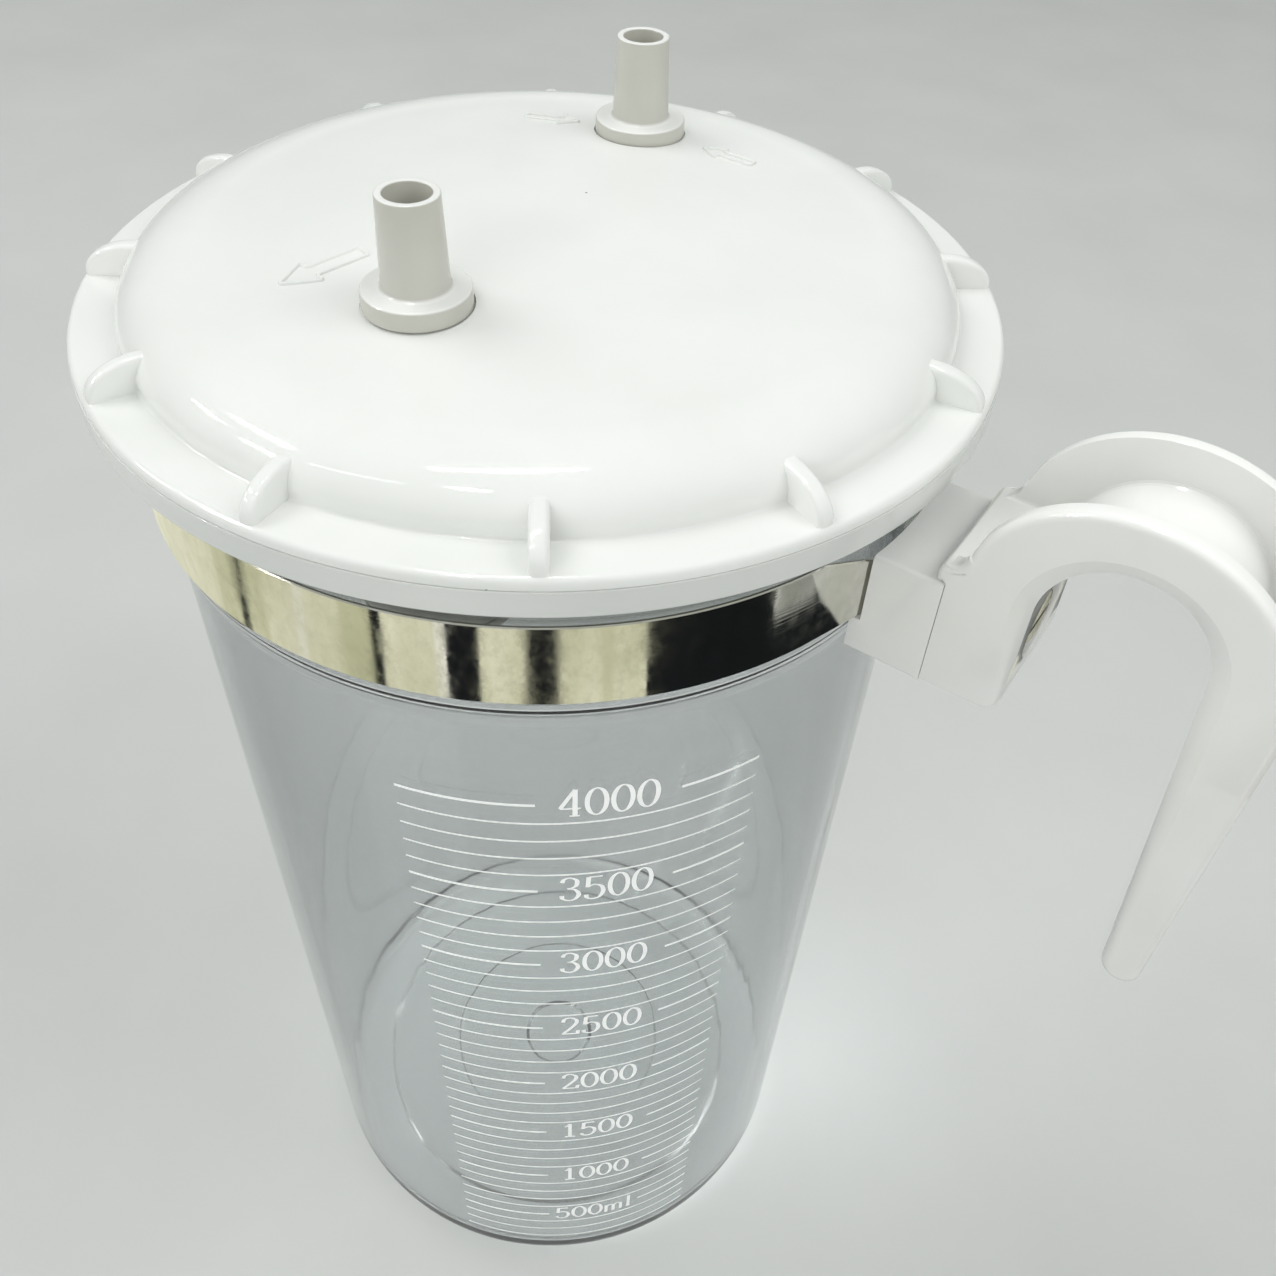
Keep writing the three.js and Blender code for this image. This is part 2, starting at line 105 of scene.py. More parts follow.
BRIM_BOTTOM = JAR_HIGH.z + 0.06
BRIM_TOP = JAR_HIGH.z + GAP + 2
BRIM_RADIUS = LID_HIGH.x
DOME_RADIUS = 78.6
SHOULDER_START = 300
SHOULDER_WIDTH = 16
SHOULDER_HEIGHT = 9
PLATEAU_RADIUS = DOME_RADIUS - SHOULDER_WIDTH
PLATEAU = SHOULDER_START + SHOULDER_HEIGHT
CROWN_RISE = LID_HIGH.z - PLATEAU
LID_WALL = 2.8
PLUG_RADIUS = 77
PLUG_INNER = 72.6
GROOVE_RADIUS = 75  # groove of the seal
GROOVE_LOW, GROOVE_HIGH = 287, 291

# ---------- Hose tubes ----------

OUTLET_SEAT = 310.1  # height of the flange's seat in the lid
INLET_SEAT = 309.4
BORE_RADIUS = 4
SHANK_RADIUS = 5.5
SHANK_HOLE = 5.8
GASKET_RADIUS = 7.3
GASKET_DEPTH = 1.2
TUBE_FLANGE = 9.4
TUBE_FLANGE_TOP = 3.8  # above the seat
TUBE_ROOT = 5.9
TUBE_TIP = 5.3


def crown(radius):
    """Height of the lid's top."""
    return PLATEAU + CROWN_RISE * (1 - (radius / PLATEAU_RADIUS) ** 2)


# ---------- Mesh helpers ----------


def arc(x, y, rx, ry, start, end, steps):
    """Points on an ellipse from one angle to the other, in degrees, both ends included."""
    angles = (radians(start + (end - start) * i / steps) for i in range(steps + 1))
    return [(x + rx * cos(a), y + ry * sin(a)) for a in angles]


def rounded(corners, steps=5):
    """An outline from (x, y) or (x, y, fillet radius) corners, with the fillets drawn as arcs."""
    points = []
    count = len(corners)
    for i, corner in enumerate(corners):
        here = Vector(corner[:2])
        if len(corner) == 2:
            points.append(tuple(here))
            continue
        before = Vector(corners[i - 1][:2]) - here
        after = Vector(corners[(i + 1) % count][:2]) - here
        half = before.angle(after) / 2
        reach = min(corner[2] / tan(half), 0.49 * before.length, 0.49 * after.length)
        radius = reach * tan(half)
        toward = (before.normalized() + after.normalized()).normalized()
        centre = here + toward * radius / sin(half)
        first = here + before.normalized() * reach - centre
        last = here + after.normalized() * reach - centre
        sweep = first.angle_signed(last)
        for k in range(steps + 1):
            spoke = first.copy()
            spoke.rotate(Matrix.Rotation(-sweep * k / steps, 2))
            points.append(tuple(centre + spoke))
    return points


def linked(name, data):
    obj = bpy.data.objects.new(name, data)
    bpy.context.scene.collection.objects.link(obj)
    return obj


def new_object(name, verts, faces):
    mesh = bpy.data.meshes.new(name)
    mesh.from_pydata([Vector(v) * MM for v in verts], [], faces)
    mesh.validate()
    return linked(name, mesh)


def outward(obj):
    """Makes the faces of a closed mesh face out."""
    work = bmesh.new()
    work.from_mesh(obj.data)
    bmesh.ops.remove_doubles(work, verts=work.verts, dist=0.002 * MM)
    bmesh.ops.recalc_face_normals(work, faces=work.faces)
    work.to_mesh(obj.data)
    work.free()
    return obj


LONG = 12  # a stretch longer than this gets a support point near each end
NEAR = 1.5  # distance of the support point from the end
ON_AXIS = 1e-6


def supported(section):
    """The section with its support points, which keep smooth shading true beside the roundings."""
    points = [section[0]]
    for before, after in zip(section, section[1:]):
        step = Vector(after[:2]) - Vector(before[:2])
        if step.length > LONG:
            near = step.normalized() * NEAR
            points += [tuple(Vector(before[:2]) + near), tuple(Vector(after[:2]) - near)]
        points.append(after)
    return points


def turned(name, section, centre=(0, 0), facets=FINE, along_x=False):
    """A solid turned from (radius, height) points that run anticlockwise round its section.

    Its axis is vertical through centre, or the clamp screw's axis if along_x.
    """
    section = supported(section)
    verts, rings = [], []
    for radius, height in section:
        if radius < ON_AXIS:
            rings.append([len(verts)] * facets)
            verts.append((0, 0, height))
            continue
        rings.append(range(len(verts), len(verts) + facets))
        verts += [(x, y, height) for x, y in arc(0, 0, radius, radius, 0, 360, facets)[:-1]]
    faces = []
    for i, low in enumerate(rings):
        high = rings[(i + 1) % len(rings)]
        for k in range(facets):
            after = (k + 1) % facets
            face = list(dict.fromkeys((low[k], low[after], high[after], high[k])))
            if len(face) > 2:
                faces.append(face)
    if along_x:
        verts = [(z, x, y + SCREW_Z) for x, y, z in verts]
    else:
        verts = [(x + centre[0], y + centre[1], z) for x, y, z in verts]
    return new_object(name, verts, faces)


SHORTEST = 0.35  # keeps the step at a very sharp corner short


def mitres(outline):
    """For each point of a closed anticlockwise outline, the step that moves both its edges in by 1."""
    steps = []
    count = len(outline)
    for i, point in enumerate(outline):
        before = (Vector(point) - Vector(outline[i - 1])).normalized()
        after = (Vector(outline[(i + 1) % count]) - Vector(point)).normalized()
        left_before, left_after = Vector((-before.y, before.x)), Vector((-after.y, after.x))
        bisector = (left_before + left_after).normalized()
        steps.append(bisector / max(SHORTEST, bisector.dot(left_after)))
    return steps


def rectangle(left, low, right, high, *fillet):
    """Corners of a rectangle, each with its fillet radius if there is one."""
    return [(x, y, *fillet) for x, y in ((left, low), (right, low), (right, high), (left, high))]


def ring(inner, outer, low, high, fillets, steps=5):
    """Section of a plain ring, with a fillet for each corner from the inner low one on."""
    corners = rectangle(inner, low, outer, high)
    return rounded([(*corner, fillet) for corner, fillet in zip(corners, fillets)], steps)


def bore(radius, mouth, low, high, depth):
    """Section of a cutter for a hole with a chamfer at both ends."""
    return [(0, low - 1), (mouth, low - 1), (radius, low + depth), (radius, high - depth), (mouth, high + 1),
            (0, high + 1)]


def between(rings, count, closed=False):
    """Faces from each ring of count points to the next, and from the last to the first if closed."""
    faces = []
    for row in range(rings if closed else rings - 1):
        a, b = row * count, (row + 1) % rings * count
        for k in range(count):
            after = (k + 1) % count
            faces.append([a + k, a + after, b + after, b + k])
    return faces


def heading(path, i):
    """Direction of a path at its point i."""
    return (Vector(path[min(i + 1, len(path) - 1)]) - Vector(path[max(i - 1, 0)])).normalized()


def plate(name, outline, low, high, rounding, upright=True, steps=5, flatness=0):
    """A plate with rounded rims from an anticlockwise outline.

    An upright plate's outline is in x and z and it reaches from y = low to high. A flat one's is in x and y.
    rounding is one radius, or one for each point of the outline, and so is flatness: at 0 the rim is a
    quarter circle, and at 1 it is a chamfer twice as wide as it is deep.
    """
    count = len(outline)
    radii = rounding if isinstance(rounding, list) else [rounding] * count
    flat = flatness if isinstance(flatness, list) else [flatness] * count
    inward = mitres(outline)
    levels = [k / steps for k in range(steps + 1)]
    verts = []
    for end, sign in ((low, 1), (high, -1)):
        for level in (reversed(levels) if sign > 0 else levels):
            drop = 1 - sin(pi / 2 * level)
            inset = 1 - cos(pi / 2 * level)
            for point, radius, share, step in zip(outline, radii, flat, inward):
                x, y = Vector(point) + step * radius * (inset + share * (level - inset))
                depth = end + sign * radius * (1 - share / 2) * (drop + share * (1 - level - drop))
                verts.append((x, depth, y) if upright else (x, y, depth))
    rings = 2 * (steps + 1)
    faces = [list(range(count)), list(range((rings - 1) * count, rings * count)), *between(rings, count)]
    return outward(new_object(name, verts, faces))


def combine(obj, tools, operation="DIFFERENCE"):
    """Cuts the tools from obj, or joins them to it, and removes them."""
    for tool in tools:
        step = obj.modifiers.new("combine", "BOOLEAN")
        step.solver = "EXACT"
        step.operation = operation
        step.object = tool
        graph = bpy.context.evaluated_depsgraph_get()
        obj.data = bpy.data.meshes.new_from_object(obj.evaluated_get(graph))
        obj.modifiers.clear()
        bpy.data.objects.remove(tool)


SHARP_EDGE = radians(40)


def soften(obj, width, wanted, steps=4):
    """Rounds the sharp edges whose middle point, in millimetres, passes the test."""
    work = bmesh.new()
    work.from_mesh(obj.data)
    edges = [edge for edge in work.edges
             if len(edge.link_faces) == 2 and edge.calc_face_angle(0) > SHARP_EDGE
             and wanted((edge.verts[0].co + edge.verts[1].co) / 2 / MM)]
    bmesh.ops.bevel(work, geom=edges, offset=width * MM, segments=steps, profile=0.5,
                    affect="EDGES", clamp_overlap=True)
    work.to_mesh(obj.data)
    work.free()


def finish_piece(obj, material, body, *nodes, sharp=38):
    """Shades a piece, gives it its material, ties it to its body, and hides the CAD nodes it stands for."""
    obj.data.materials.clear()
    obj.data.materials.append(material)
    obj.data.shade_smooth()
    obj.data.set_sharp_from_angle(angle=radians(sharp))
    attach(obj, body)
    if nodes:
        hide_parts(*nodes)


# ---------- Material helpers ----------


class Graph:
    """A short way to write a node material, or a world."""

    def __init__(self, name, owners=bpy.data.materials, output="ShaderNodeOutputMaterial"):
        self.owner = owners.new(name)
        self.owner["slot"] = name
        self.owner.use_nodes = True
        self.tree = self.owner.node_tree
        self.tree.nodes.clear()
        self.output = self.add(output)
        self.place = self.add("ShaderNodeTexCoord").outputs["Object"]

    def add(self, kind, **inputs):
        made = self.tree.nodes.new(kind)
        for key, value in inputs.items():
            self.set(made, key, value)
        return made

    def set(self, made, key, value):
        socket = made.inputs[int(key[1:])] if key[0] == "_" else made.inputs[key.replace("_", " ")]
        if isinstance(value, bpy.types.NodeSocket):
            self.tree.links.new(value, socket)
        else:
            socket.default_value = value

    def scaled(self, x, y, z):
        """The place in the object, stretched for grain that runs one way."""
        mapping = self.add("ShaderNodeMapping", Vector=self.place, Scale=(x, y, z))
        return mapping.outputs["Vector"]

    def noise(self, scale, detail=2.0, vector=None, roughness=0.5):
        made = self.add("ShaderNodeTexNoise", Scale=scale, Detail=detail, Roughness=roughness,
                        Vector=vector or self.place)
        return made.outputs["Fac"]

    def remap(self, value, low, high, out_low=0.0, out_high=1.0):
        made = self.add("ShaderNodeMapRange", Value=value, From_Min=low, From_Max=high,
                        To_Min=out_low, To_Max=out_high)
        return made.outputs["Result"]

    def mix(self, factor, first, second):
        made = self.add("ShaderNodeMix")
        made.data_type = "RGBA"
        self.set(made, "_0", factor)
        for index, value in ((6, first), (7, second)):
            self.set(made, f"_{index}", value if isinstance(value, bpy.types.NodeSocket) else (*value, 1))
        return made.outputs[2]

    def upward(self, vector):
        """The vertical part of a vector."""
        return self.add("ShaderNodeSeparateXYZ", Vector=vector).outputs["Z"]

    def maths(self, operation, first, second=0.0):
        made = self.add("ShaderNodeMath", _0=first, _1=second)
        made.operation = operation
        return made.outputs[0]

    def bump(self, height, strength, distance, normal=None):
        made = self.add("ShaderNodeBump", Height=height, Strength=strength, Distance=distance)
        if normal is not None:
            self.set(made, "Normal", normal)
        return made.outputs["Normal"]

    def principled(self, **inputs):
        return self.add("ShaderNodeBsdfPrincipled", **inputs)

    def done(self, shader):
        self.set(self.output, "Surface", shader.outputs[0])
        return self.owner


def white_plastic(name, colour, shade, gloss, specks, top=None):
    """Moulded glossy plastic: faint mottling and waviness, fine handling marks and a few dark specks.

    Faces that look up take the colour top, if it is given: painted light that makes the tops lighter than
    the sides.
    """
    g = Graph(name)
    mottle = g.noise(38, 3)
    base = g.mix(g.remap(mottle, 0.35, 0.7), colour, shade)
    if top is not None:
        # Painted light: the more a face looks up, the more it takes the colour top.
        painted_top_light = g.upward(g.add("ShaderNodeNewGeometry").outputs["Normal"])
        base = g.mix(g.remap(painted_top_light, 0.35, 0.9), base, top)
    cells = g.add("ShaderNodeTexVoronoi", Scale=260, Vector=g.place)
    draw = g.add("ShaderNodeSeparateColor", Color=cells.outputs["Color"]).outputs[0]
    chosen = g.maths("GREATER_THAN", draw, 1 - specks)
    dot = g.maths("LESS_THAN", cells.outputs["Distance"], 0.075)
    base = g.mix(g.maths("MULTIPLY", chosen, dot), base, (0.23, 0.22, 0.19))
    smear = g.noise(90, 4, g.scaled(1, 1.6, 1), 0.65)
    rough = g.remap(smear, 0.35, 0.8, gloss, gloss + 0.1)
    waves = g.bump(g.noise(34, 1), 0.10, 0.0012)
    skin = g.bump(g.noise(900, 2), 0.045, 0.0002, waves)
    surface = g.principled(Base_Color=base, Roughness=rough, IOR=1.52, Normal=skin)
    return g.done(surface)


def clear_plastic():
    """Clear polycarbonate: a grey tint that deepens where the wall is seen edge on, faint vertical flow
    lines and dull smears. Light gets through it. The flange has painted light, pale and far less clear,
    for the light it carries in from the white brim, and the collar between it and the band has painted
    shade.
    """
    g = Graph("clear_polycarbonate")
    smear = g.noise(24, 4, g.scaled(1, 1, 0.45), 0.6)
    rough = g.remap(smear, 0.45, 0.8, 0.008, 0.07)
    flow = g.bump(g.noise(70, 2, g.scaled(1, 1, 0.05)), 0.10, 0.0006)
    tint = g.mix(g.remap(g.noise(12, 2), 0.3, 0.7), (0.80, 0.82, 0.825), (0.835, 0.85, 0.85))
    grazing = g.maths("POWER", g.add("ShaderNodeLayerWeight", Blend=0.5).outputs["Facing"], 2.6)
    tint = g.mix(grazing, tint, (0.20, 0.23, 0.235))
    height = g.upward(g.place)
    # Painted light: from the flange's bottom up the wall takes the pale tone rim and lets little light
    # through, standing in for light carried in from the white brim.
    painted_flange_light = g.remap(height, (FLANGE_BOTTOM - 0.3) * MM, (FLANGE_BOTTOM + 0.3) * MM)
    band = g.noise(20, 2, g.scaled(1, 1, 0.05))
    rim = g.mix(g.remap(band, 0.35, 0.65), (0.84, 0.85, 0.82), (0.75, 0.765, 0.74))
    # Painted shade: from just under the band's top edge up, the collar is tinted dark, as the shade under
    # the brim.
    painted_collar_shade = g.remap(height, (BAND_HIGH.z - 1.5) * MM, (BAND_HIGH.z - 0.5) * MM)
    tint = g.mix(painted_collar_shade, tint, (0.40, 0.41, 0.40))
    tint = g.mix(painted_flange_light, tint, rim)
    body = g.principled(Base_Color=tint, Roughness=rough, IOR=1.585, Normal=flow)
    g.set(body, "Transmission Weight", g.remap(painted_flange_light, 0, 1, 1, 0.12))
    through = g.add("ShaderNodeBsdfTransparent", Color=(0.90, 0.91, 0.91, 1))
    shadow = g.add("ShaderNodeLightPath").outputs["Is Shadow Ray"]
    mixed = g.add("ShaderNodeMixShader", _0=shadow, _1=body.outputs[0], _2=through.outputs[0])
    return g.done(mixed)


def polished_strip():
    """Mirror-polished stainless strip with fine lengthwise lines, smudges and a little unevenness."""
    g = Graph("stainless_strip")
    smudge = g.noise(55, 5, g.scaled(1, 1, 0.7), 0.65)
    haze = g.noise(420, 4, g.scaled(1, 1, 0.6), 0.7)
    lines = g.noise(40, 2, g.scaled(1, 1, 60))
    base = g.mix(g.remap(smudge, 0.35, 0.7), (0.80, 0.785, 0.73), (0.62, 0.61, 0.52))
    base = g.mix(g.remap(haze, 0.45, 0.8, 0, 0.5), base, (0.50, 0.50, 0.43))
    # Painted reflection: vertical streaks darken the metal's colour, standing in for streaks in what the
    # strip reflects.
    painted_streaks = g.noise(75, 3, g.scaled(1, 1, 0.03), 0.7)
    base = g.mix(g.remap(painted_streaks, 0.45, 0.75, 0, 0.65), base, (0.55, 0.55, 0.44))
    rough = g.maths("ADD", g.remap(smudge, 0.35, 0.78, 0.03, 0.15), g.remap(haze, 0.4, 0.8, 0, 0.12))
    wavy = g.bump(g.noise(26, 1, g.scaled(1, 1, 0.5)), 0.22, 0.0016)
    brushed = g.bump(lines, 0.05, 0.0002, wavy)
    surface = g.principled(Base_Color=base, Roughness=rough, Metallic=1.0, Normal=brushed)
    return g.done(surface)


def fastener_steel():
    """Zinc-plated steel with turning marks and dull patches."""
    g = Graph("steel_fastener")
    patch = g.noise(420, 4)
    base = g.mix(g.remap(patch, 0.35, 0.7), (0.62, 0.60, 0.56), (0.40, 0.385, 0.35))
    rough = g.remap(patch, 0.3, 0.75, 0.2, 0.42)
    marks = g.bump(g.noise(2600, 2, g.scaled(4, 1, 1)), 0.12, 0.0001)
    surface = g.principled(Base_Color=base, Roughness=rough, Metallic=1.0, Normal=marks)
    return g.done(surface)


def rubber():
    """Dark rubber with a fine matt skin and a pale bloom."""
    g = Graph("seal_rubber")
    bloom = g.noise(150, 4)
    base = g.mix(g.remap(bloom, 0.5, 0.85, 0, 0.6), (0.035, 0.036, 0.038), (0.12, 0.12, 0.118))
    rough = g.remap(bloom, 0.3, 0.8, 0.5, 0.8)
    skin = g.bump(g.noise(1400, 2), 0.2, 0.0001)
    surface = g.principled(Base_Color=base, Roughness=rough, Normal=skin)
    return g.done(surface)


def natural_plastic(name, colour):
    """Unpigmented polypropylene: waxy, a little see-through, with soft flow marks."""
    g = Graph(name)
    flow = g.noise(120, 3, g.scaled(1, 1, 0.4))
    base = g.mix(g.remap(flow, 0.3, 0.75), colour, tuple(0.86 * part for part in colour))
    rough = g.remap(flow, 0.3, 0.75, 0.3, 0.46)
    skin = g.bump(flow, 0.1, 0.0004)
    surface = g.principled(Base_Color=base, Roughness=rough, IOR=1.49, Normal=skin)
    g.set(surface, "Transmission Weight", 0.12)
    return g.done(surface)


def printing_ink():
    """White screen print, slightly uneven in density, with a faint painted glow."""
    g = Graph("white_print")
    patchy = g.noise(900, 3)
    base = g.mix(g.remap(patchy, 0.4, 0.75), (0.95, 0.96, 0.95), (0.83, 0.85, 0.84))
    surface = g.principled(Base_Color=base, Roughness=g.remap(patchy, 0.3, 0.8, 0.45, 0.65))
    # Painted light: the ink glows faintly, which keeps the print bright.
    g.set(surface, "Emission Color", (1, 1, 1, 1))
    g.set(surface, "Emission Strength", 0.12)
    return g.done(surface)


WHITE = white_plastic("white_abs", (0.86, 0.87, 0.845), (0.825, 0.84, 0.81), 0.04, 0.012)
# The tubes' sides are darker, partly their own greyer tone and partly painted shade, and their tops take
# painted light.
PORT_WHITE = white_plastic("port_abs", (0.59, 0.585, 0.53), (0.54, 0.535, 0.475), 0.15, 0.006,
                           top=(0.85, 0.855, 0.83))
# Painted light: the tops of the hook and the block take a lighter colour than their sides.
HOOK_WHITE = white_plastic("hook_abs", (0.84, 0.84, 0.82), (0.80, 0.80, 0.775), 0.09, 0.006,
                           top=(0.95, 0.955, 0.925))
CLEAR = clear_plastic()
STRIP = polished_strip()
STEEL = fastener_steel()
RUBBER = rubber()
NATURAL = natural_plastic("natural_plastic", (0.74, 0.73, 0.67))
FLOAT_WHITE = natural_plastic("float_plastic", (0.82, 0.81, 0.76))
INK = printing_ink()
INK["slot"] = "white_abs"

# ---------- Jar ----------


def wall_radius(height):
    return WALL_RADIUS + DRAFT * height


def make_jar():
    section = rounded([
        (0, 0),
        (PAD_RADIUS, 0, 0.4),
        (PAD_RADIUS + 1, HOLLOW, 0.5),
        (STEP_RADIUS - 0.6, HOLLOW, 0.4),
        (STEP_RADIUS, SHALLOW, 0.4),
        (FOOT_RADIUS - 1, SHALLOW, 0.6),
        (FOOT_RADIUS, 0, 0.5),
        (wall_radius(0), 0, CORNER),
        (wall_radius(BEAD), BEAD, 0.1),
        (wall_radius(BEAD) + BEAD_STEP, BEAD + BEAD_STEP / 2, 0.1),
        (COLLAR_RADIUS, BEAD + BEAD_SPREAD, BEAD_FILLET),
        (COLLAR_RADIUS, FLANGE_BOTTOM, 1),
        (FLANGE_RADIUS, FLANGE_BOTTOM, 0.4),
        (FLANGE_RADIUS, JAR_HIGH.z, 0.12),
        (MOUTH_RADIUS, JAR_HIGH.z, 0.6),
        (MOUTH_RADIUS, INNER_BEAD + BEAD_SPREAD, BEAD_FILLET),
        (wall_radius(BEAD) - WALL, INNER_BEAD, BEAD_FILLET),
        (wall_radius(0) - WALL, FLOOR_TOP, CORNER),
        (0, FLOOR_TOP),
    ], 8)
    jar = turned("jar_shell", section)
    finish_piece(jar, CLEAR, "jar", "jar", sharp=50)


# ---------- Print on the jar ----------

PRINT_LIFT = 0.03  # underside of the print above the wall
PRINT_THICK = 0.05
THICK_LINE = 0.66
THIN_LINE = 0.42
SCALE_START = -74.45  # azimuth of the left end of every line
SCALE_END = -21.73
LEFT_MARK_END = -54.7
RIGHT_MARK_START = -34.2
LABEL_MIDDLE = -44.25
DIGIT_HEIGHT = 8.0
DIGIT_WIDTH = 4.3
DIGIT_ADVANCE = 4.95
NIB_THICK = 0.95
NIB_THIN = 0.34
SCALE_FLOOR = 1.75  # effective height of the inside of the floor
SCALE_RADIUS = WALL_RADIUS - WALL - 0.5  # effective inside radius at the foot
PRINT_LAYERS = 6  # strokes that cross lie in different layers
LAYER_STEP = 0.003


def mark_height(millilitres):
    """Height of the line for a volume, from the volume of a tapered jar."""
    foot = SCALE_RADIUS + DRAFT * SCALE_FLOOR
    cubic_mm = millilitres * 1000
    return ((foot ** 3 + 3 * DRAFT * cubic_mm / pi) ** (1 / 3) - SCALE_RADIUS) / DRAFT


def smooth_path(points, steps=7):
    """A Catmull-Rom curve through the points."""
    padded = [points[0], *points, points[-1]]
    path = []
    for a, b, c, d in zip(padded, padded[1:], padded[2:], padded[3:]):
        for k in range(steps):
            t = k / steps
            path.append(tuple(
                0.5 * (2 * q + (r - p) * t + (2 * p - 5 * q + 4 * r - s) * t * t
                       + (3 * q - p - 3 * r + s) * t ** 3)
                for p, q, r, s in zip(a, b, c, d)))
    return [*path, points[-1]]


class Print:
    """Strokes of ink laid on the jar's wall, gathered into one mesh."""

    def __init__(self):
        self.verts, self.faces = [], []
        self.level = 0

    def stroke(self, azimuth, height, path, widths):
        """A flat ribbon along a path of (sideways, up) millimetres from a point on the wall."""
        self.level = (self.level + 1) % PRINT_LAYERS
        low = PRINT_LIFT + LAYER_STEP * self.level
        first = len(self.verts)
        for i, point in enumerate(path):
            ahead = heading(path, i)
            side = Vector((-ahead.y, ahead.x)) * widths[i] / 2
            for edge in (Vector(point) + side, Vector(point) - side):
                for lift in (low, low + PRINT_THICK):
                    z = height + edge.y
                    radius = wall_radius(z) + lift
                    angle = radians(azimuth) + edge.x / radius
                    self.verts.append((radius * cos(angle), radius * sin(angle), z))
        self.faces.append([first, first + 1, first + 3, first + 2])
        for i in range(len(path) - 1):
            a, b = first + 4 * i, first + 4 * i + 4
            for p, q in ((0, 1), (1, 3), (3, 2), (2, 0)):
                self.faces.append([a + p, b + p, b + q, a + q])
        last = first + 4 * (len(path) - 1)
        self.faces.append([last, last + 2, last + 3, last + 1])

    def line(self, start, end, height, width):
        """A level line between two azimuths."""
        steps = max(2, round(abs(end - start) / 1.5))
        radius = wall_radius(height)
        length = radians(end - start) * radius
        path = [(length * i / steps, 0) for i in range(steps + 1)]
        self.stroke(start, height, path, [width] * (steps + 1))

    def piece(self, name):
        obj = outward(new_object(name, self.verts, self.faces))
        finish_piece(obj, INK, "jar", sharp=60)


ROUND_O = arc(0.5, 0.5, 0.43, 0.5, 0, 360, 28)
# Each glyph is a list of strokes in a box one unit wide and high. Three points or more make a curve.
GLYPHS = {
    "0": [ROUND_O],
    "1": [[(0.5, 0), (0.5, 1)], [(0.18, 0.01), (0.82, 0.01)], [(0.2, 0.8), (0.34, 0.86), (0.5, 0.99)]],
    "2": [[(0.12, 0.76), (0.2, 0.93), (0.5, 1.0), (0.84, 0.86), (0.8, 0.62), (0.46, 0.32), (0.1, 0.05)],
          [(0.06, 0.04), (0.9, 0.04)], [(0.9, 0.02), (0.95, 0.22)]],
    "3": [[(0.12, 0.8), (0.22, 0.94), (0.5, 1.0), (0.8, 0.88), (0.78, 0.66), (0.56, 0.55), (0.36, 0.53)],
          [(0.36, 0.53), (0.7, 0.48), (0.9, 0.27), (0.72, 0.05), (0.42, 0.0), (0.14, 0.08), (0.1, 0.22)]],
    "4": [[(0.7, 1.0), (0.05, 0.3)], [(0.05, 0.29), (0.95, 0.29)], [(0.7, 0), (0.7, 1.0)],
          [(0.46, 0.01), (0.92, 0.01)]],
    "5": [[(0.2, 0.97), (0.86, 0.97)], [(0.21, 0.97), (0.17, 0.54)],
          [(0.17, 0.54), (0.46, 0.63), (0.8, 0.54), (0.9, 0.3), (0.72, 0.06), (0.4, 0.0), (0.14, 0.07),
           (0.1, 0.2)]],
    "m": [[(0.1, 0), (0.1, 0.62)], [(0.12, 0.5), (0.3, 0.63), (0.5, 0.55), (0.52, 0.4), (0.52, 0)],
          [(0.54, 0.5), (0.72, 0.63), (0.92, 0.55), (0.95, 0.4), (0.95, 0)]],
    "l": [[(0.5, 0), (0.5, 1.0)], [(0.25, 0.01), (0.75, 0.01)]],
}
WIDE = {"m": 1.25, "l": 0.62}


def write(ink, text, azimuth, height):
    """Upright roman numerals centred on an azimuth, thick in their uprights and thin across."""
    total = sum(WIDE.get(letter, 1) for letter in text) * DIGIT_ADVANCE
    cursor = -total / 2
    for letter in text:
        wide = WIDE.get(letter, 1)
        for stroke in GLYPHS[letter]:
            path = smooth_path(stroke) if len(stroke) > 2 and stroke is not ROUND_O else list(stroke)
            path = [(cursor + x * DIGIT_WIDTH * wide, (y - 0.5) * DIGIT_HEIGHT) for x, y in path]
            widths = []
            for i in range(len(path)):
                upright = abs(heading(path, i).y)
                widths.append(NIB_THIN + (NIB_THICK - NIB_THIN) * upright ** 3)
            ink.stroke(azimuth, height, path, widths)
        cursor += wide * DIGIT_ADVANCE


def make_print():
    lines, numbers = Print(), Print()
    for volume in range(200, 4001, 100):
        height = mark_height(volume)
        if volume % 500:
            lines.line(SCALE_START, SCALE_END, height, THIN_LINE)
            continue
        lines.line(SCALE_START, LEFT_MARK_END, height, THICK_LINE)
        lines.line(RIGHT_MARK_START, SCALE_END, height, THICK_LINE)
        label = "500ml" if volume == 500 else str(volume)
        write(numbers, label, LABEL_MIDDLE, height + 0.5)
    lines.piece("graduation_lines")
    numbers.piece("graduation_numbers")


# ---------- Lid ----------

FIN_COUNT = 12
FIN_TURN = 6.8
FIN_THICK = 3.2
FIN_RIM = 1.0  # rounding of its rim
FIN_INNER = 74.5
FIN_ROOT = 77
FIN_REACH = 9.6
FIN_BOTTOM = BRIM_TOP - 1.6
FIN_FOOT = 299.2
FIN_HEIGHT = 5.7


def port_axes():
    return [(OUTLET.x, OUTLET.y, OUTLET_SEAT), (INLET.x, INLET.y, INLET_SEAT)]


def grip_fin(index):
    """One fin as an upright plate with a rounded rim, turned into place."""
    outline = [
        (FIN_INNER, FIN_BOTTOM),
        (FIN_ROOT + FIN_REACH, FIN_BOTTOM),
        *arc(FIN_ROOT, FIN_FOOT, FIN_REACH, FIN_HEIGHT, 0, 90, 16),
        (FIN_INNER, FIN_FOOT + FIN_HEIGHT),
    ]
    fin = plate(f"fin_{index}", outline, -FIN_THICK / 2, FIN_THICK / 2, FIN_RIM, steps=5)
    fin.data.transform(Matrix.Rotation(radians(FIN_TURN + 360 / FIN_COUNT * index), 4, "Z"))
    return fin


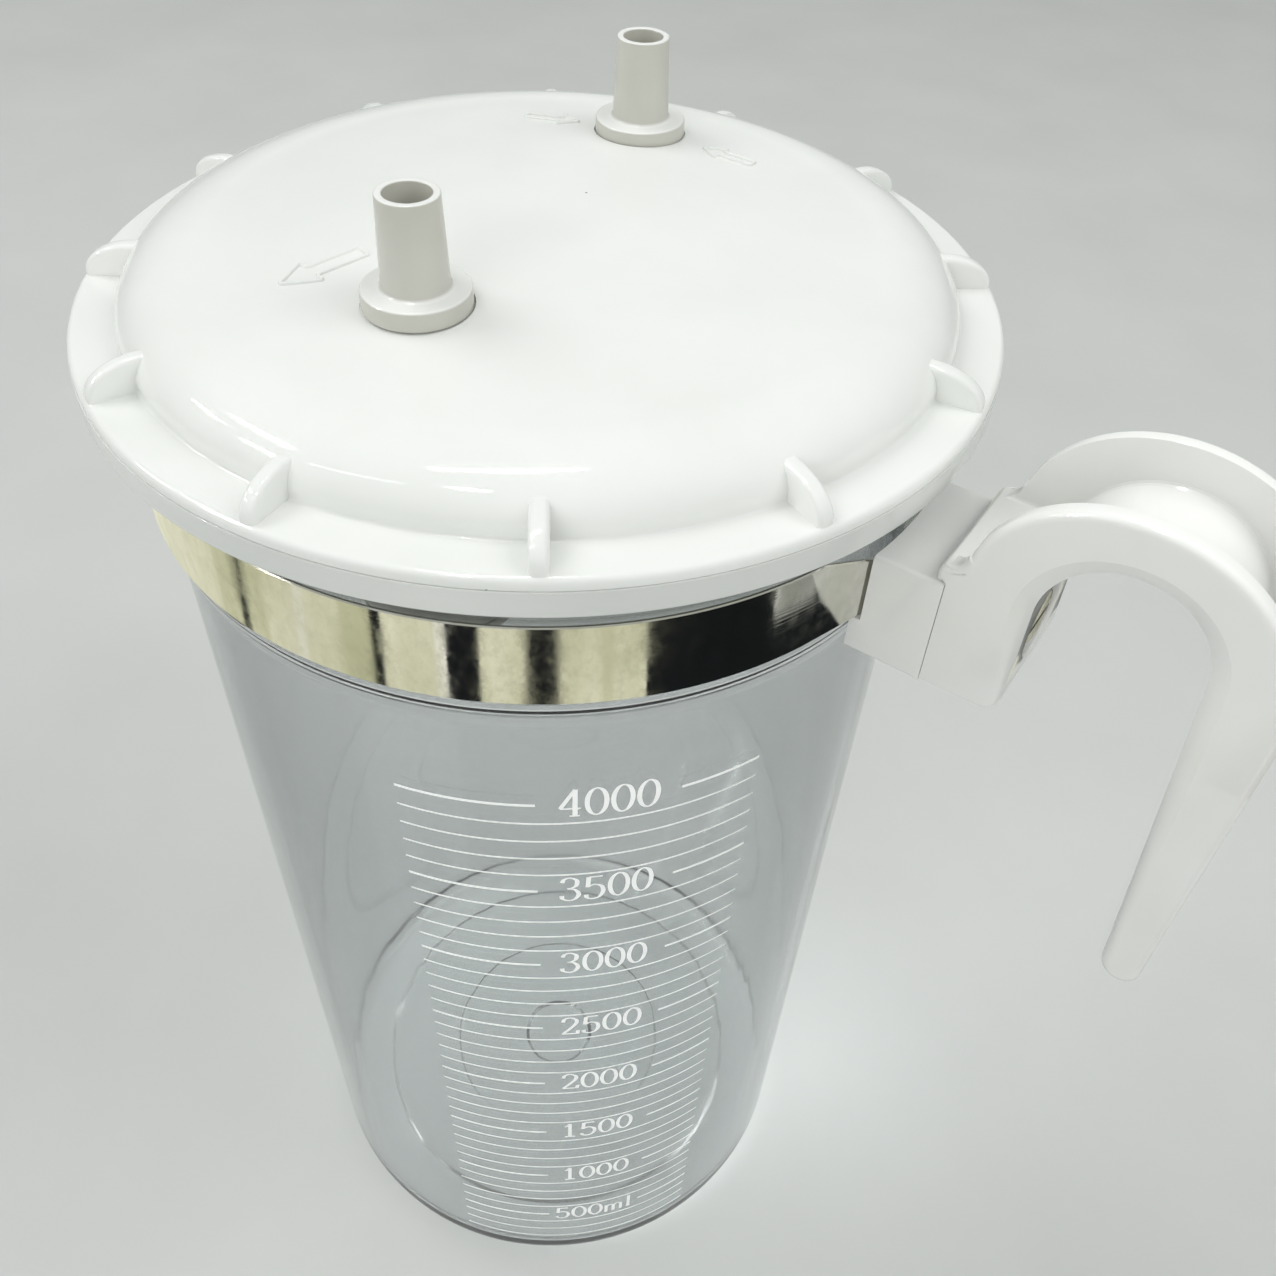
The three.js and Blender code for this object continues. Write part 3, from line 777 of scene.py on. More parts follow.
def make_lid():
    inner_width, inner_height = PLUG_INNER - PLATEAU_RADIUS, SHOULDER_HEIGHT - LID_WALL
    under = [(r, crown(r) - LID_WALL) for r in range(0, int(PLATEAU_RADIUS), 8)]
    over = [(r, crown(r)) for r in range(0, int(PLATEAU_RADIUS), 6)]
    section = rounded([
        *under,
        *arc(PLATEAU_RADIUS, SHOULDER_START, inner_width, inner_height, 90, 0, 12),
        (PLUG_INNER, LID_LOW.z, 0.6),
        (PLUG_RADIUS, LID_LOW.z, 0.8),
        (PLUG_RADIUS, GROOVE_LOW, 0.3),
        (GROOVE_RADIUS, GROOVE_LOW, 0.3),
        (GROOVE_RADIUS, GROOVE_HIGH, 0.3),
        (PLUG_RADIUS, GROOVE_HIGH, 0.3),
        (PLUG_RADIUS, BRIM_BOTTOM, 0.3),
        (BRIM_RADIUS, BRIM_BOTTOM, 0.15),
        (BRIM_RADIUS, BRIM_TOP, 1.1),
        (DOME_RADIUS, BRIM_TOP, 0.9),
        *arc(PLATEAU_RADIUS, SHOULDER_START, SHOULDER_WIDTH, SHOULDER_HEIGHT, 0, 90, 28),
        *reversed(over),
    ])
    lid = turned("lid_shell", section, facets=256)
    combine(lid, [grip_fin(i) for i in range(FIN_COUNT)], "UNION")
    tools = []
    pocket_radius, flange_radius = GASKET_RADIUS + GAP, TUBE_FLANGE + GAP
    for i, (x, y, seat) in enumerate(port_axes()):
        below, pocket, above = seat - 8, seat - GASKET_DEPTH, seat + 4
        steps = [(0, below), (SHANK_HOLE, below), (SHANK_HOLE, pocket), (pocket_radius, pocket),
                 (pocket_radius, seat), (flange_radius, seat), (flange_radius, above), (0, above)]
        tools.append(turned(f"port_hole_{i}", steps, (x, y), SMALL))
    combine(lid, tools)
    finish_piece(lid, WHITE, "lid", "lid", sharp=30)


def make_seal():
    section = ring(GROOVE_RADIUS + GAP, MOUTH_RADIUS - GAP, GROOVE_LOW + GAP, GROOVE_HIGH - GAP,
                   (0.3, 0.9, 0.9, 0.3))
    finish_piece(turned("seal_ring", section), RUBBER, "lid_seal", "lid_seal")


def raised_outline(name, corners, place, angle):
    """A thin raised ridge that follows a closed outline on the lid's top, turned by angle."""
    ridge_width, ridge_height, sunk = 0.75, 0.42, 0.15
    turn = Matrix.Rotation(radians(angle), 2)
    outline = [Vector(place) + turn @ Vector(p) for p in rounded(corners, 4)]
    profile = [(0, -sunk), (0, 0.6), (0.2, 1), (0.8, 1), (1, 0.6), (1, -sunk)]
    verts = []
    for point, step in zip(outline, mitres(outline)):
        for across, rise in profile:
            spot = point + step * ridge_width * across
            lift = rise * ridge_height if rise > 0 else rise
            verts.append((spot.x, spot.y, crown(spot.length) + lift))
    obj = outward(new_object(name, verts, between(len(outline), len(profile), closed=True)))
    finish_piece(obj, WHITE, "lid", sharp=45)


def make_arrows():
    """Plain arrows that show the way of the flow: out at the outlet, and in at the inlet."""
    arrow = [(-9, -2.1, 0.8), (1.5, -2.1, 0.4), (1.5, -4.6, 0.8), (9, 0, 0.8), (1.5, 4.6, 0.8),
             (1.5, 2.1, 0.4), (-9, 2.1, 0.8)]
    raised_outline("outlet_arrow", arrow, (-19.5, -38.5), -104)
    shrink = 0.72
    small = [(x * shrink, y * shrink, fillet) for x, y, fillet in arrow]
    raised_outline("inlet_arrow_left", small, (-28.5, 39.8), 20)
    raised_outline("inlet_arrow_right", small, (10.5, 47.5), 180)


# ---------- Hose tubes ----------


def make_port(name, node, seat):
    low, high = node_box(node)
    axis = middle(node).xy
    flange_top = seat + TUBE_FLANGE_TOP
    section = rounded([
        (BORE_RADIUS, low.z, 0.3),
        (SHANK_RADIUS, low.z, 0.4),
        (SHANK_RADIUS, seat + GAP, 0.2),
        (TUBE_FLANGE, seat + GAP, 0.3),
        (TUBE_FLANGE, flange_top, 0.5),
        (TUBE_ROOT, flange_top, 0.9),
        (TUBE_TIP, high.z, 0.3),
        (BORE_RADIUS, high.z, 0.3),
    ], 6)
    port = turned(name, section, axis, 96)
    finish_piece(port, PORT_WHITE, "lid", node, sharp=50)


def make_gasket(name, node):
    low, high = node_box(node)
    section = ring(SHANK_HOLE, GASKET_RADIUS, low.z, high.z, (0.15, 0.3, 0.3, 0.15))
    finish_piece(turned(name, section, middle(node).xy, SMALL), RUBBER, "lid", node)


ACROSS_FLATS = 17
NUT_FLAT = 8.2  # radius of the flat ring at each end
NUT_MOUTH = 6.6  # radius of the hole's chamfer, past each end


def make_nut(name, node):
    """Hexagon nut with its corners turned down at both ends."""
    low, high = node_box(node)
    axis = middle(node).xy
    corner = ACROSS_FLATS / sqrt(3)
    hexagon = arc(*axis, corner, corner, 0, 300, 5)
    nut = plate(name, hexagon, low.z, high.z, 0.12, upright=False, steps=2)
    proud, turned_down = 0.1, 0.9
    disc = [(0, low.z - proud), (NUT_FLAT, low.z - proud), (corner + 0.2, low.z + turned_down),
            (corner + 0.2, high.z - turned_down), (NUT_FLAT, high.z + proud), (0, high.z + proud)]
    combine(nut, [turned("nut_blank", disc, axis, SMALL)], "INTERSECT")
    combine(nut, [turned("nut_bore", bore(SHANK_HOLE, NUT_MOUTH, low.z, high.z, 0.5), axis, SMALL)])
    finish_piece(nut, NATURAL, "lid", node, sharp=20)


# ---------- Float valve ----------

CAGE_RADIUS = 16
CAGE_BORE = 13.6
CAGE_ROOF = 3
BASE_HOLE = 5
BASE_RIM = 2.7
WINDOW_HALF = 7
WINDOW_LOW, WINDOW_HIGH = 258, 288
WINDOW_CORNER = 2.5
FLOAT_RADIUS = 12.6
FLOAT_SKIN = 1.5
FLOAT_ROOF = 2
STEM_RADIUS = 2.5  # stem that holds the pad
STEM_HEIGHT = 2.2
PAD_OUTER = 8


def make_float_valve():
    x, y = OUTLET.x, OUTLET.y
    top, bottom = CAGE_HIGH.z, CAGE_LOW.z
    shell = rounded([
        (SHANK_HOLE, top - CAGE_ROOF, 0.3),
        (CAGE_BORE, top - CAGE_ROOF, 0.8),
        (CAGE_BORE, bottom, 0.3),
        (CAGE_RADIUS, bottom, 0.5),
        (CAGE_RADIUS, top, 1.2),
        (SHANK_HOLE, top, 0.3),
    ])
    cage = turned("valve_cage", shell, (x, y), 96)
    window = rounded(rectangle(-WINDOW_HALF, WINDOW_LOW, WINDOW_HALF, WINDOW_HIGH, WINDOW_CORNER))
    reach = CAGE_RADIUS + 2
    tools = []
    for turn in (45, 135):
        tool = plate(f"cage_window_{turn}", window, -reach, reach, 0.05, steps=1)
        spin = Matrix.Rotation(radians(turn), 4, "Z")
        tool.data.transform(Matrix.Translation((x * MM, y * MM, 0)) @ spin)
        tools.append(tool)
    combine(cage, tools)
    soften(cage, 0.35, lambda p: WINDOW_LOW - 0.5 < p.z < WINDOW_HIGH + 0.5, 2)
    finish_piece(cage, NATURAL, "lid", "float_cage")

    low, high = node_box("float_cage_base")
    plug = CAGE_BORE - GAP
    rim = low.z + BASE_RIM
    section = rounded([(BASE_HOLE, low.z, 0.5), (CAGE_RADIUS, low.z, 0.8), (CAGE_RADIUS, rim, 0.3),
                       (plug, rim, 0.2), (plug, high.z, 0.6), (BASE_HOLE, high.z, 0.5)])
    finish_piece(turned("valve_cage_base", section, (x, y), 96), NATURAL, "lid", "float_cage_base")

    low, high = node_box("float")
    shoulder = high.z - STEM_HEIGHT
    ceiling = shoulder - FLOAT_ROOF
    hollow = FLOAT_RADIUS - FLOAT_SKIN
    section = rounded([(0, ceiling), (hollow, ceiling, 1.5), (hollow, low.z, 0.3),
                       (FLOAT_RADIUS, low.z, 0.5), (FLOAT_RADIUS, shoulder, 2), (STEM_RADIUS, shoulder, 0.4),
                       (STEM_RADIUS, high.z, 0.5), (0, high.z)])
    finish_piece(turned("valve_float", section, (x, y), 96), FLOAT_WHITE, "float", "float")

    low, high = node_box("float_pad")
    section = ring(STEM_RADIUS + GAP, PAD_OUTER, low.z, high.z, (0.2, 0.5, 0.8, 0.4))
    finish_piece(turned("valve_pad", section, (x, y), SMALL), RUBBER, "float", "float_pad")


# ---------- Clamp band ----------

STRIP_THICK = 0.8
BAND_RADIUS = 81
BAND_LEAVES = 17.9  # degrees from the hook where the strip leaves the collar
TAB_HALF = 12.2
TAB_TOP = 278
TAB_FOLD = 3.3  # how far the folded end reaches in
BAND_EDGE = 0.22


def make_band():
    """A strip round the collar whose ends run out into the block and fold in."""
    leave = radians(BAND_LEAVES)
    half = STRIP_THICK / 2
    radius = BAND_RADIUS - half
    side = TAB_HALF - half
    bend_x = (radius - side * sin(leave)) / cos(leave)
    end_x = BAND_HIGH.x - half
    fold = side - TAB_FOLD
    quarter = rounded([(end_x, fold), (end_x, side, 1.2), (bend_x, side, 3), (radius * cos(leave),
                       radius * sin(leave))], 6)
    start = quarter[:-1]
    around = arc(0, 0, radius, radius, BAND_LEAVES, 360 - BAND_LEAVES, 180)
    path = start + around + [(x, -y) for x, y in reversed(start)]
    verts = []
    leave_y = BAND_RADIUS * sin(leave)
    for i, point in enumerate(path):
        ahead = heading(path, i)
        across = Vector((-ahead.y, ahead.x))
        near_block = point[0] > 0 and abs(point[1]) < leave_y
        share = min(1, max(0, (leave_y - abs(point[1])) / (leave_y - TAB_HALF))) if near_block else 0
        top = BAND_HIGH.z - share * (BAND_HIGH.z - TAB_TOP)
        section = rounded(rectangle(-half, BAND_LOW.z, half, top, BAND_EDGE), 1)
        for offset, z in section:
            spot = Vector(point) + across * offset
            verts.append((spot.x, spot.y, z))
    sides = len(section)
    faces = [*between(len(path), sides), list(range(sides)), list(range(len(verts) - sides, len(verts)))]
    band = outward(new_object("polished_band", verts, faces))
    finish_piece(band, STRIP, "jar", "clamp_band", sharp=30)


# ---------- Block, hook and screw ----------

SEAM = BLOCK_HIGH.x + GAP / 2  # where the block and the hook's base meet
SEAM_HALF = 0.05
BLOCK_ROOT = 70  # inside the jar, and cut away
COLLAR_CLEAR = 80.3  # radius of the block's curved face below the band
BAND_CLEAR = 82.3  # radius of that face from the band's lower edge up
POCKET_END = 90.5  # pocket for the band's ends
POCKET_LOW, POCKET_HIGH = 264.7, 278.5
POCKET_HALF = 12.6
RECESS_RADIUS = 7.5
RECESS_FLOOR = 101
HOLE_RADIUS = 3.3
HOLE_MOUTH = 4.1


def screw_hole(start, end):
    """Cutter for the hole that the screw runs through."""
    section = [(0, start), (HOLE_RADIUS, start), (HOLE_RADIUS, end), (0, end)]
    return turned("screw_hole", section, facets=48, along_x=True)


def make_block():
    face = SEAM - SEAM_HALF
    near = face - 1.5
    round_rim, seam_rim = 0.9, 0.15
    outline = [(BLOCK_ROOT, BLOCK_LOW.z), (near, BLOCK_LOW.z), (face, BLOCK_LOW.z), (face, BLOCK_HIGH.z),
               (near, BLOCK_HIGH.z), (BLOCK_ROOT, BLOCK_HIGH.z)]
    rims = [round_rim, round_rim, seam_rim, seam_rim, round_rim, round_rim]
    block = plate("white_block", outline, BLOCK_LOW.y, BLOCK_HIGH.y, rims)
    below, above = 250, 285
    collar = [(0, below), (COLLAR_CLEAR, below), (COLLAR_CLEAR, POCKET_LOW), (BAND_CLEAR, POCKET_LOW),
              (BAND_CLEAR, above), (0, above)]
    pocket_outline = rectangle(BLOCK_ROOT - 10, POCKET_LOW, POCKET_END, POCKET_HIGH)
    pocket = plate("block_pocket", pocket_outline, -POCKET_HALF, POCKET_HALF, 0.3, steps=2)
    combine(block, [turned("block_collar", collar), pocket, screw_hole(POCKET_END - 2.5, face + 1.5)])

    def on_curved_face(p):
        beside_pocket = p.z > POCKET_HIGH + 0.5 or p.z < BLOCK_LOW.z + 1 or abs(p.y) > POCKET_HALF + 0.3
        return hypot(p.x, p.y) < BAND_CLEAR + 0.05 and beside_pocket

    soften(block, 0.6, on_curved_face, 3)
    finish_piece(block, HOOK_WHITE, "jar", "clamp_block", sharp=25)


INNER_X, INNER_Z, INNER_RADIUS = 122.9, 281, 14.1  # inside of the bend
OUTER_X, OUTER_Z, OUTER_RADIUS = 121.7, 277, 28.7  # outside of the bend
SADDLE = 283.8  # top of the base, and floor of the channel
RISE_X = 96.5  # where the side walls rise from the base
TIP_X, TIP_Z, TIP_RADIUS = 143, 209.5, 3.75
LEG_X, LEG_Z = 136.97, 282  # where the inside of the leg starts
ROOT_RADIUS = 3.4  # fillet between the lip and the side walls
FACE_RISE = 20.2  # straight part of the face against the rail
BASE_CORNER = 3
OUTER_RIM = 1.5  # roundings of the rim: outside,
LIP_RIM = 1.2  # on the lip,
LEG_RIM = 2.4  # at the end of the leg's inside,
BEND_RIM = 3.2  # and inside the bend
BEND_FLATNESS = 0.85  # of the rim inside the bend
HOOK_WALL = 3.4
WEB = 3
CHANNEL_END = 213.5


def steady(value):
    return lambda share: value


def ease(first, last):
    return lambda share: first + (last - first) * share * share * (3 - 2 * share)


def between_ends(start, end, parts):
    """The points that part a straight line, without its ends."""
    step = (Vector(end) - Vector(start)) / parts
    return [tuple(Vector(start) + step * k) for k in range(1, parts)]


def hook_outline():
    """Points of the hook's side view, with the rounding of the rim and its flatness at each."""
    base = BLOCK_LOW.z + 0.8
    plane = SEAM + SEAM_HALF
    face = INNER_X - INNER_RADIUS
    under_lip = BLOCK_HIGH.z + GAP
    crest = OUTER_Z + OUTER_RADIUS
    points = []

    def run(outline, rounding, flatness=steady(0)):
        shares = [i / max(1, len(outline) - 1) for i in range(len(outline))]
        points.extend((point, rounding(s), flatness(s)) for point, s in zip(outline, shares))

    run([(plane, under_lip), (plane, base)], steady(0.15))
    corner_end = base + BASE_CORNER
    start_rim = 1.4
    run(arc(face - BASE_CORNER, corner_end, BASE_CORNER, BASE_CORNER, -90, 0, 8), ease(0.5, start_rim))
    run(between_ends((face, corner_end), (face, corner_end + FACE_RISE), 8), ease(start_rim, BEND_RIM),
        ease(0, BEND_FLATNESS))
    run(arc(INNER_X, INNER_Z, INNER_RADIUS, INNER_RADIUS, 180, 4, 44), steady(BEND_RIM),
        steady(BEND_FLATNESS))
    run(between_ends((LEG_X, LEG_Z), (TIP_X, TIP_Z), 12), ease(BEND_RIM, LEG_RIM), ease(BEND_FLATNESS, 0))
    run(arc(TIP_X + TIP_RADIUS, TIP_Z, TIP_RADIUS, TIP_RADIUS, 184, 360, 18), ease(LEG_RIM, OUTER_RIM))
    back = OUTER_X + OUTER_RADIUS
    run(between_ends((back, TIP_Z), (back, OUTER_Z), 8), steady(OUTER_RIM))
    run(arc(OUTER_X, OUTER_Z, OUTER_RADIUS, OUTER_RADIUS, 0, 90, 36), steady(OUTER_RIM))
    rise = arc(OUTER_X, SADDLE, OUTER_X - RISE_X, crest - SADDLE, 90, 180, 48)
    run([point for point in rise[1:] if point[1] > SADDLE + ROOT_RADIUS], steady(OUTER_RIM))
    run(arc(RISE_X - ROOT_RADIUS, SADDLE + ROOT_RADIUS, ROOT_RADIUS, ROOT_RADIUS, 0, -90, 6),
        ease(OUTER_RIM, LIP_RIM))
    lip = rounded([(RISE_X, SADDLE), (HOOK_LOW.x, SADDLE, 1.5), (HOOK_LOW.x, under_lip, 0.5),
                   (plane, under_lip)])
    run(lip[1:-1], steady(LIP_RIM))
    return zip(*points)


def make_hook():
    outline, rounding, flatness = map(list, hook_outline())
    hook = plate("white_hook", outline, HOOK_LOW.y, HOOK_HIGH.y, rounding, steps=7, flatness=flatness)
    floor = INNER_RADIUS + WEB
    above = HOOK_HIGH.z + 3
    beyond = HOOK_HIGH.x + 3
    saddle = SADDLE + 0.03  # a little above the lip, so that the lip stays whole
    meets = 180 - degrees(asin((saddle - INNER_Z) / floor))
    channel = [
        (HOOK_LOW.x - 4, saddle),
        *arc(INNER_X, INNER_Z, floor, floor, meets, 4, 36),
        *rounded([(TIP_X + WEB + 0.2, CHANNEL_END + 6), (TIP_X + WEB, CHANNEL_END, 1.5),
                  (beyond, CHANNEL_END)])[1:],
        (beyond, above),
        (HOOK_LOW.x - 4, above),
    ]
    half = HOOK_HIGH.y - HOOK_WALL
    combine(hook, [plate("hook_channel", channel, -half, half, 1.2, steps=4)])
    soften(hook, 0.9, lambda p: abs(abs(p.y) - half) < 0.1 and p.z > CHANNEL_END - 1, 4)
    face = INNER_X - INNER_RADIUS
    flare = 0.6
    recess = [(0, RECESS_FLOOR), (RECESS_RADIUS, RECESS_FLOOR),
              *arc(RECESS_RADIUS + flare, face - flare, flare, flare, 180, 90, 5),
              (RECESS_RADIUS + flare, face + 2), (0, face + 2)]
    combine(hook, [turned("hook_recess", recess, facets=96, along_x=True), screw_hole(90, RECESS_FLOOR + 2)])
    finish_piece(hook, HOOK_WHITE, "jar", "rail_hook", sharp=17)


THREAD_PITCH = 1.0
THREAD_RADIUS = 2.95
THREAD_DEPTH = 0.3
TIP_CHAMFER = 0.5
HEAD_HEIGHT = 3.8
HEAD_RADIUS = 5.5
SLOT_DEPTH = 1.6
SLOT_HALF = 0.7


def make_screw():
    """Slotted cheese-head screw with a helical thread on its shank."""
    tip, end = SCREW_LOW.x, SCREW_HIGH.x
    under_head = end - HEAD_HEIGHT
    facets, per_turn = 48, 10
    rows = round((under_head - tip + 0.5) / THREAD_PITCH * per_turn)
    verts = []
    for row in range(rows + 1):
        x = tip + row * THREAD_PITCH / per_turn
        fade = min(1, row / (per_turn * 0.8))
        for k in range(facets):
            phase = (row / per_turn - k / facets) % 1
            radius = THREAD_RADIUS - THREAD_DEPTH * (1 - abs(2 * phase - 1)) - TIP_CHAMFER * (1 - fade)
            angle = TAU * k / facets
            verts.append((x, radius * cos(angle), SCREW_Z + radius * sin(angle)))
    ends = [list(range(facets)), list(range(rows * facets, (rows + 1) * facets))]
    faces = between(rows + 1, facets) + ends
    screw = outward(new_object("slotted_screw", verts, faces))
    head = rounded([(0, under_head), (HEAD_RADIUS, under_head, 0.3), (HEAD_RADIUS, end, 0.9), (0, end)])
    combine(screw, [turned("screw_head", head, facets=SMALL, along_x=True)], "UNION")
    slot = rectangle(end - SLOT_DEPTH, SCREW_Z - SLOT_HALF, end + 2, SCREW_Z + SLOT_HALF)
    combine(screw, [plate("screw_slot", slot, -8, 8, 0.02, steps=1)])
    finish_piece(screw, STEEL, "clamp_screw", "clamp_screw")


def make_washers():
    """A flat washer and a split spring washer."""
    for name, node, outer, fillet in (("plain_washer", "flat_washer", 6.5, 0.1),
                                      ("spring_washer", "lock_washer", 5.2, 0.15)):
        low, high = node_box(node)
        section = ring(HOLE_RADIUS, outer, low.x, high.x, (fillet, 0.3, 0.3, fillet), 3)
        washer = turned(name, section, facets=SMALL, along_x=True)
        if node == "lock_washer":
            split = rectangle(low.x - 1, SCREW_Z, high.x + 1, SCREW_Z + 8)
            combine(washer, [plate("washer_split", split, -0.5, 0.5, 0.02, steps=1)])
        finish_piece(washer, STEEL, "clamp_washers", node)


def make_nut_plate():
    low, high = node_box("nut_plate")
    outline = rounded(rectangle(low.x, low.z, high.x, high.z, 0.3), 3)
    nut_plate = plate("threaded_plate", outline, low.y, high.y, 0.4, steps=3)
    hole = bore(HOLE_RADIUS, HOLE_MOUTH, low.x, high.x, 0.4)
    combine(nut_plate, [turned("plate_hole", hole, facets=48, along_x=True)])
    finish_piece(nut_plate, STEEL, "jar", "nut_plate")


make_jar()
make_print()
make_lid()
make_seal()
make_arrows()
for side, seat in (("outlet", OUTLET_SEAT), ("inlet", INLET_SEAT)):
    make_port(f"{side}_tube", f"{side}_port", seat)
    make_gasket(f"{side}_gasket", f"{side}_port_gasket")
    make_nut(f"{side}_nut", f"{side}_port_nut")
make_float_valve()
make_band()
make_block()
make_hook()
make_screw()
make_washers()
make_nut_plate()

# ---------- Floor, lights and camera ----------

FLOOR_TONE = (0.62, 0.63, 0.615)
CREAM = (0.88, 0.88, 0.70)
SHADE = (0.72, 0.73, 0.53)
GLINT = (1.0, 1.0, 0.92)
DARK = (0.012, 0.014, 0.016)
# Sectors of the room as the band sees them: azimuth where each starts, and its tone.
ROOM_SECTORS = [
    (-180, CREAM), (-150, SHADE), (-142, DARK), (-139, SHADE), (-132, CREAM), (-122, GLINT), (-119, CREAM),
    (-107, SHADE), (-99, DARK), (-96, CREAM), (-82, GLINT), (-79, DARK), (-71, CREAM), (-60, DARK),
    (-52, CREAM), (-40, SHADE), (-37, CREAM), (-29, DARK), (27, CREAM), (60, DARK), (75, CREAM),
    (120, DARK), (128, CREAM),
]


def tone_ramp(g, vector, stops, blend):
    """Tones over the azimuth of a vector, from (azimuth, colour) stops that start at -180 degrees."""
    azimuth = g.add("ShaderNodeTexGradient", Vector=vector)
    azimuth.gradient_type = "RADIAL"
    ramp = g.add("ShaderNodeValToRGB", Fac=azimuth.outputs["Fac"])
    ramp.color_ramp.interpolation = blend
    for azimuth, tone in stops[1:]:
        stop = ramp.color_ramp.elements.new((azimuth + 180) / 360)
        stop.color = (*tone, 1)
    for end in (0, -1):
        ramp.color_ramp.elements[end].color = (*stops[0][1], 1)
    return ramp.outputs["Color"]


def mirror_rays(g, path, depth=1):
    """1 for a ray that the camera sees in one mirror reflection, and 0 for others."""
    mirrored = g.maths("SUBTRACT", path["Is Glossy Ray"], path["Is Transmission Ray"])
    return g.maths("MULTIPLY", mirrored, g.maths("LESS_THAN", path["Ray Depth"], depth + 0.5))


def floor_material():
    """Pale, softly mottled floor. Mirror rays that start at the band's height see dark and cream sectors
    in its place, as in a furnished room.
    """
    g = Graph("pale_floor")
    mottle = g.noise(9, 5)
    tone = g.mix(g.remap(mottle, 0.3, 0.7), FLOOR_TONE, tuple(0.95 * part for part in FLOOR_TONE))
    plain = g.add("ShaderNodeBsdfDiffuse", Color=tone)
    sectors = tone_ramp(g, g.place, ROOM_SECTORS, "CONSTANT")
    room = g.add("ShaderNodeEmission", Color=sectors, Strength=0.95)
    path = g.add("ShaderNodeLightPath").outputs
    mirrored = mirror_rays(g, path)
    rise = g.upward(g.add("ShaderNodeNewGeometry").outputs["Incoming"])
    source = g.maths("MULTIPLY", rise, path["Ray Length"])  # height where the ray starts
    mirrored = g.maths("MULTIPLY", mirrored, g.maths("GREATER_THAN", source, (BAND_LOW.z - 1) * MM))
    mirrored = g.maths("MULTIPLY", mirrored, g.maths("LESS_THAN", source, (BAND_HIGH.z + 1) * MM))
    mixed = g.add("ShaderNodeMixShader", _0=mirrored, _1=plain.outputs[0], _2=room.outputs[0])
    return g.done(mixed)


def make_floor():
    bpy.ops.mesh.primitive_circle_add(vertices=96, radius=6, fill_type="NGON", location=(0, 0, -0.0002))
    floor = bpy.context.active_object
    floor.name = "floor"
    floor.data.materials.append(floor_material())


HORIZON_LIGHT = 0.34
ZENITH_LIGHT = 0.60
BACKDROP_LIGHT = 0.50  # what the camera sees beyond the floor
AIM = Vector((0, 0, 0.2))


def area_light(name, place, size, power):
    """A rectangular light, aimed at the middle of the object."""
    data = bpy.data.lights.new(name, "AREA")
    data.shape = "RECTANGLE"
    data.size, data.size_y = size
    data.energy = power
    lamp = linked(name, data)
    lamp.location = place
    lamp.rotation_euler = (AIM - Vector(place)).to_track_quat("-Z", "Y").to_euler()
    return lamp


def strip_light(name, start, end, width, power):
    """A thin light from start to end that shows only in glossy surfaces."""
    place = (Vector(start) + Vector(end)) / 2
    length = Vector(end) - Vector(start)
    lamp = area_light(name, place, (length.length, width), power)
    back = (place - AIM).normalized()
    along = (length - back * length.dot(back)).normalized()
    turn = Matrix((along, back.cross(along), back)).transposed()
    lamp.matrix_world = Matrix.Translation(place) @ turn.to_4x4()
    lamp.visible_diffuse = False


# Where the room's walls are lighter or darker in mirror rays: azimuth, and brightness there.
WALL_TONES = [
    (-180, 0.7), (-150, 1.6), (-128, 0.3), (-95, 1.3), (-60, 0.25), (-25, 1.7), (-10, 0.5),
    (30, 0.35), (50, 1.5), (85, 0.3), (120, 1.8), (145, 0.4), (165, 0.7),
]
WALL_TOP = 0.5  # sine of the elevation where the walls have faded out
BRIGHTEST = 2.0
WORLD_DEPTH = 2  # a world shader counts a ray as one bounce deeper than a surface does


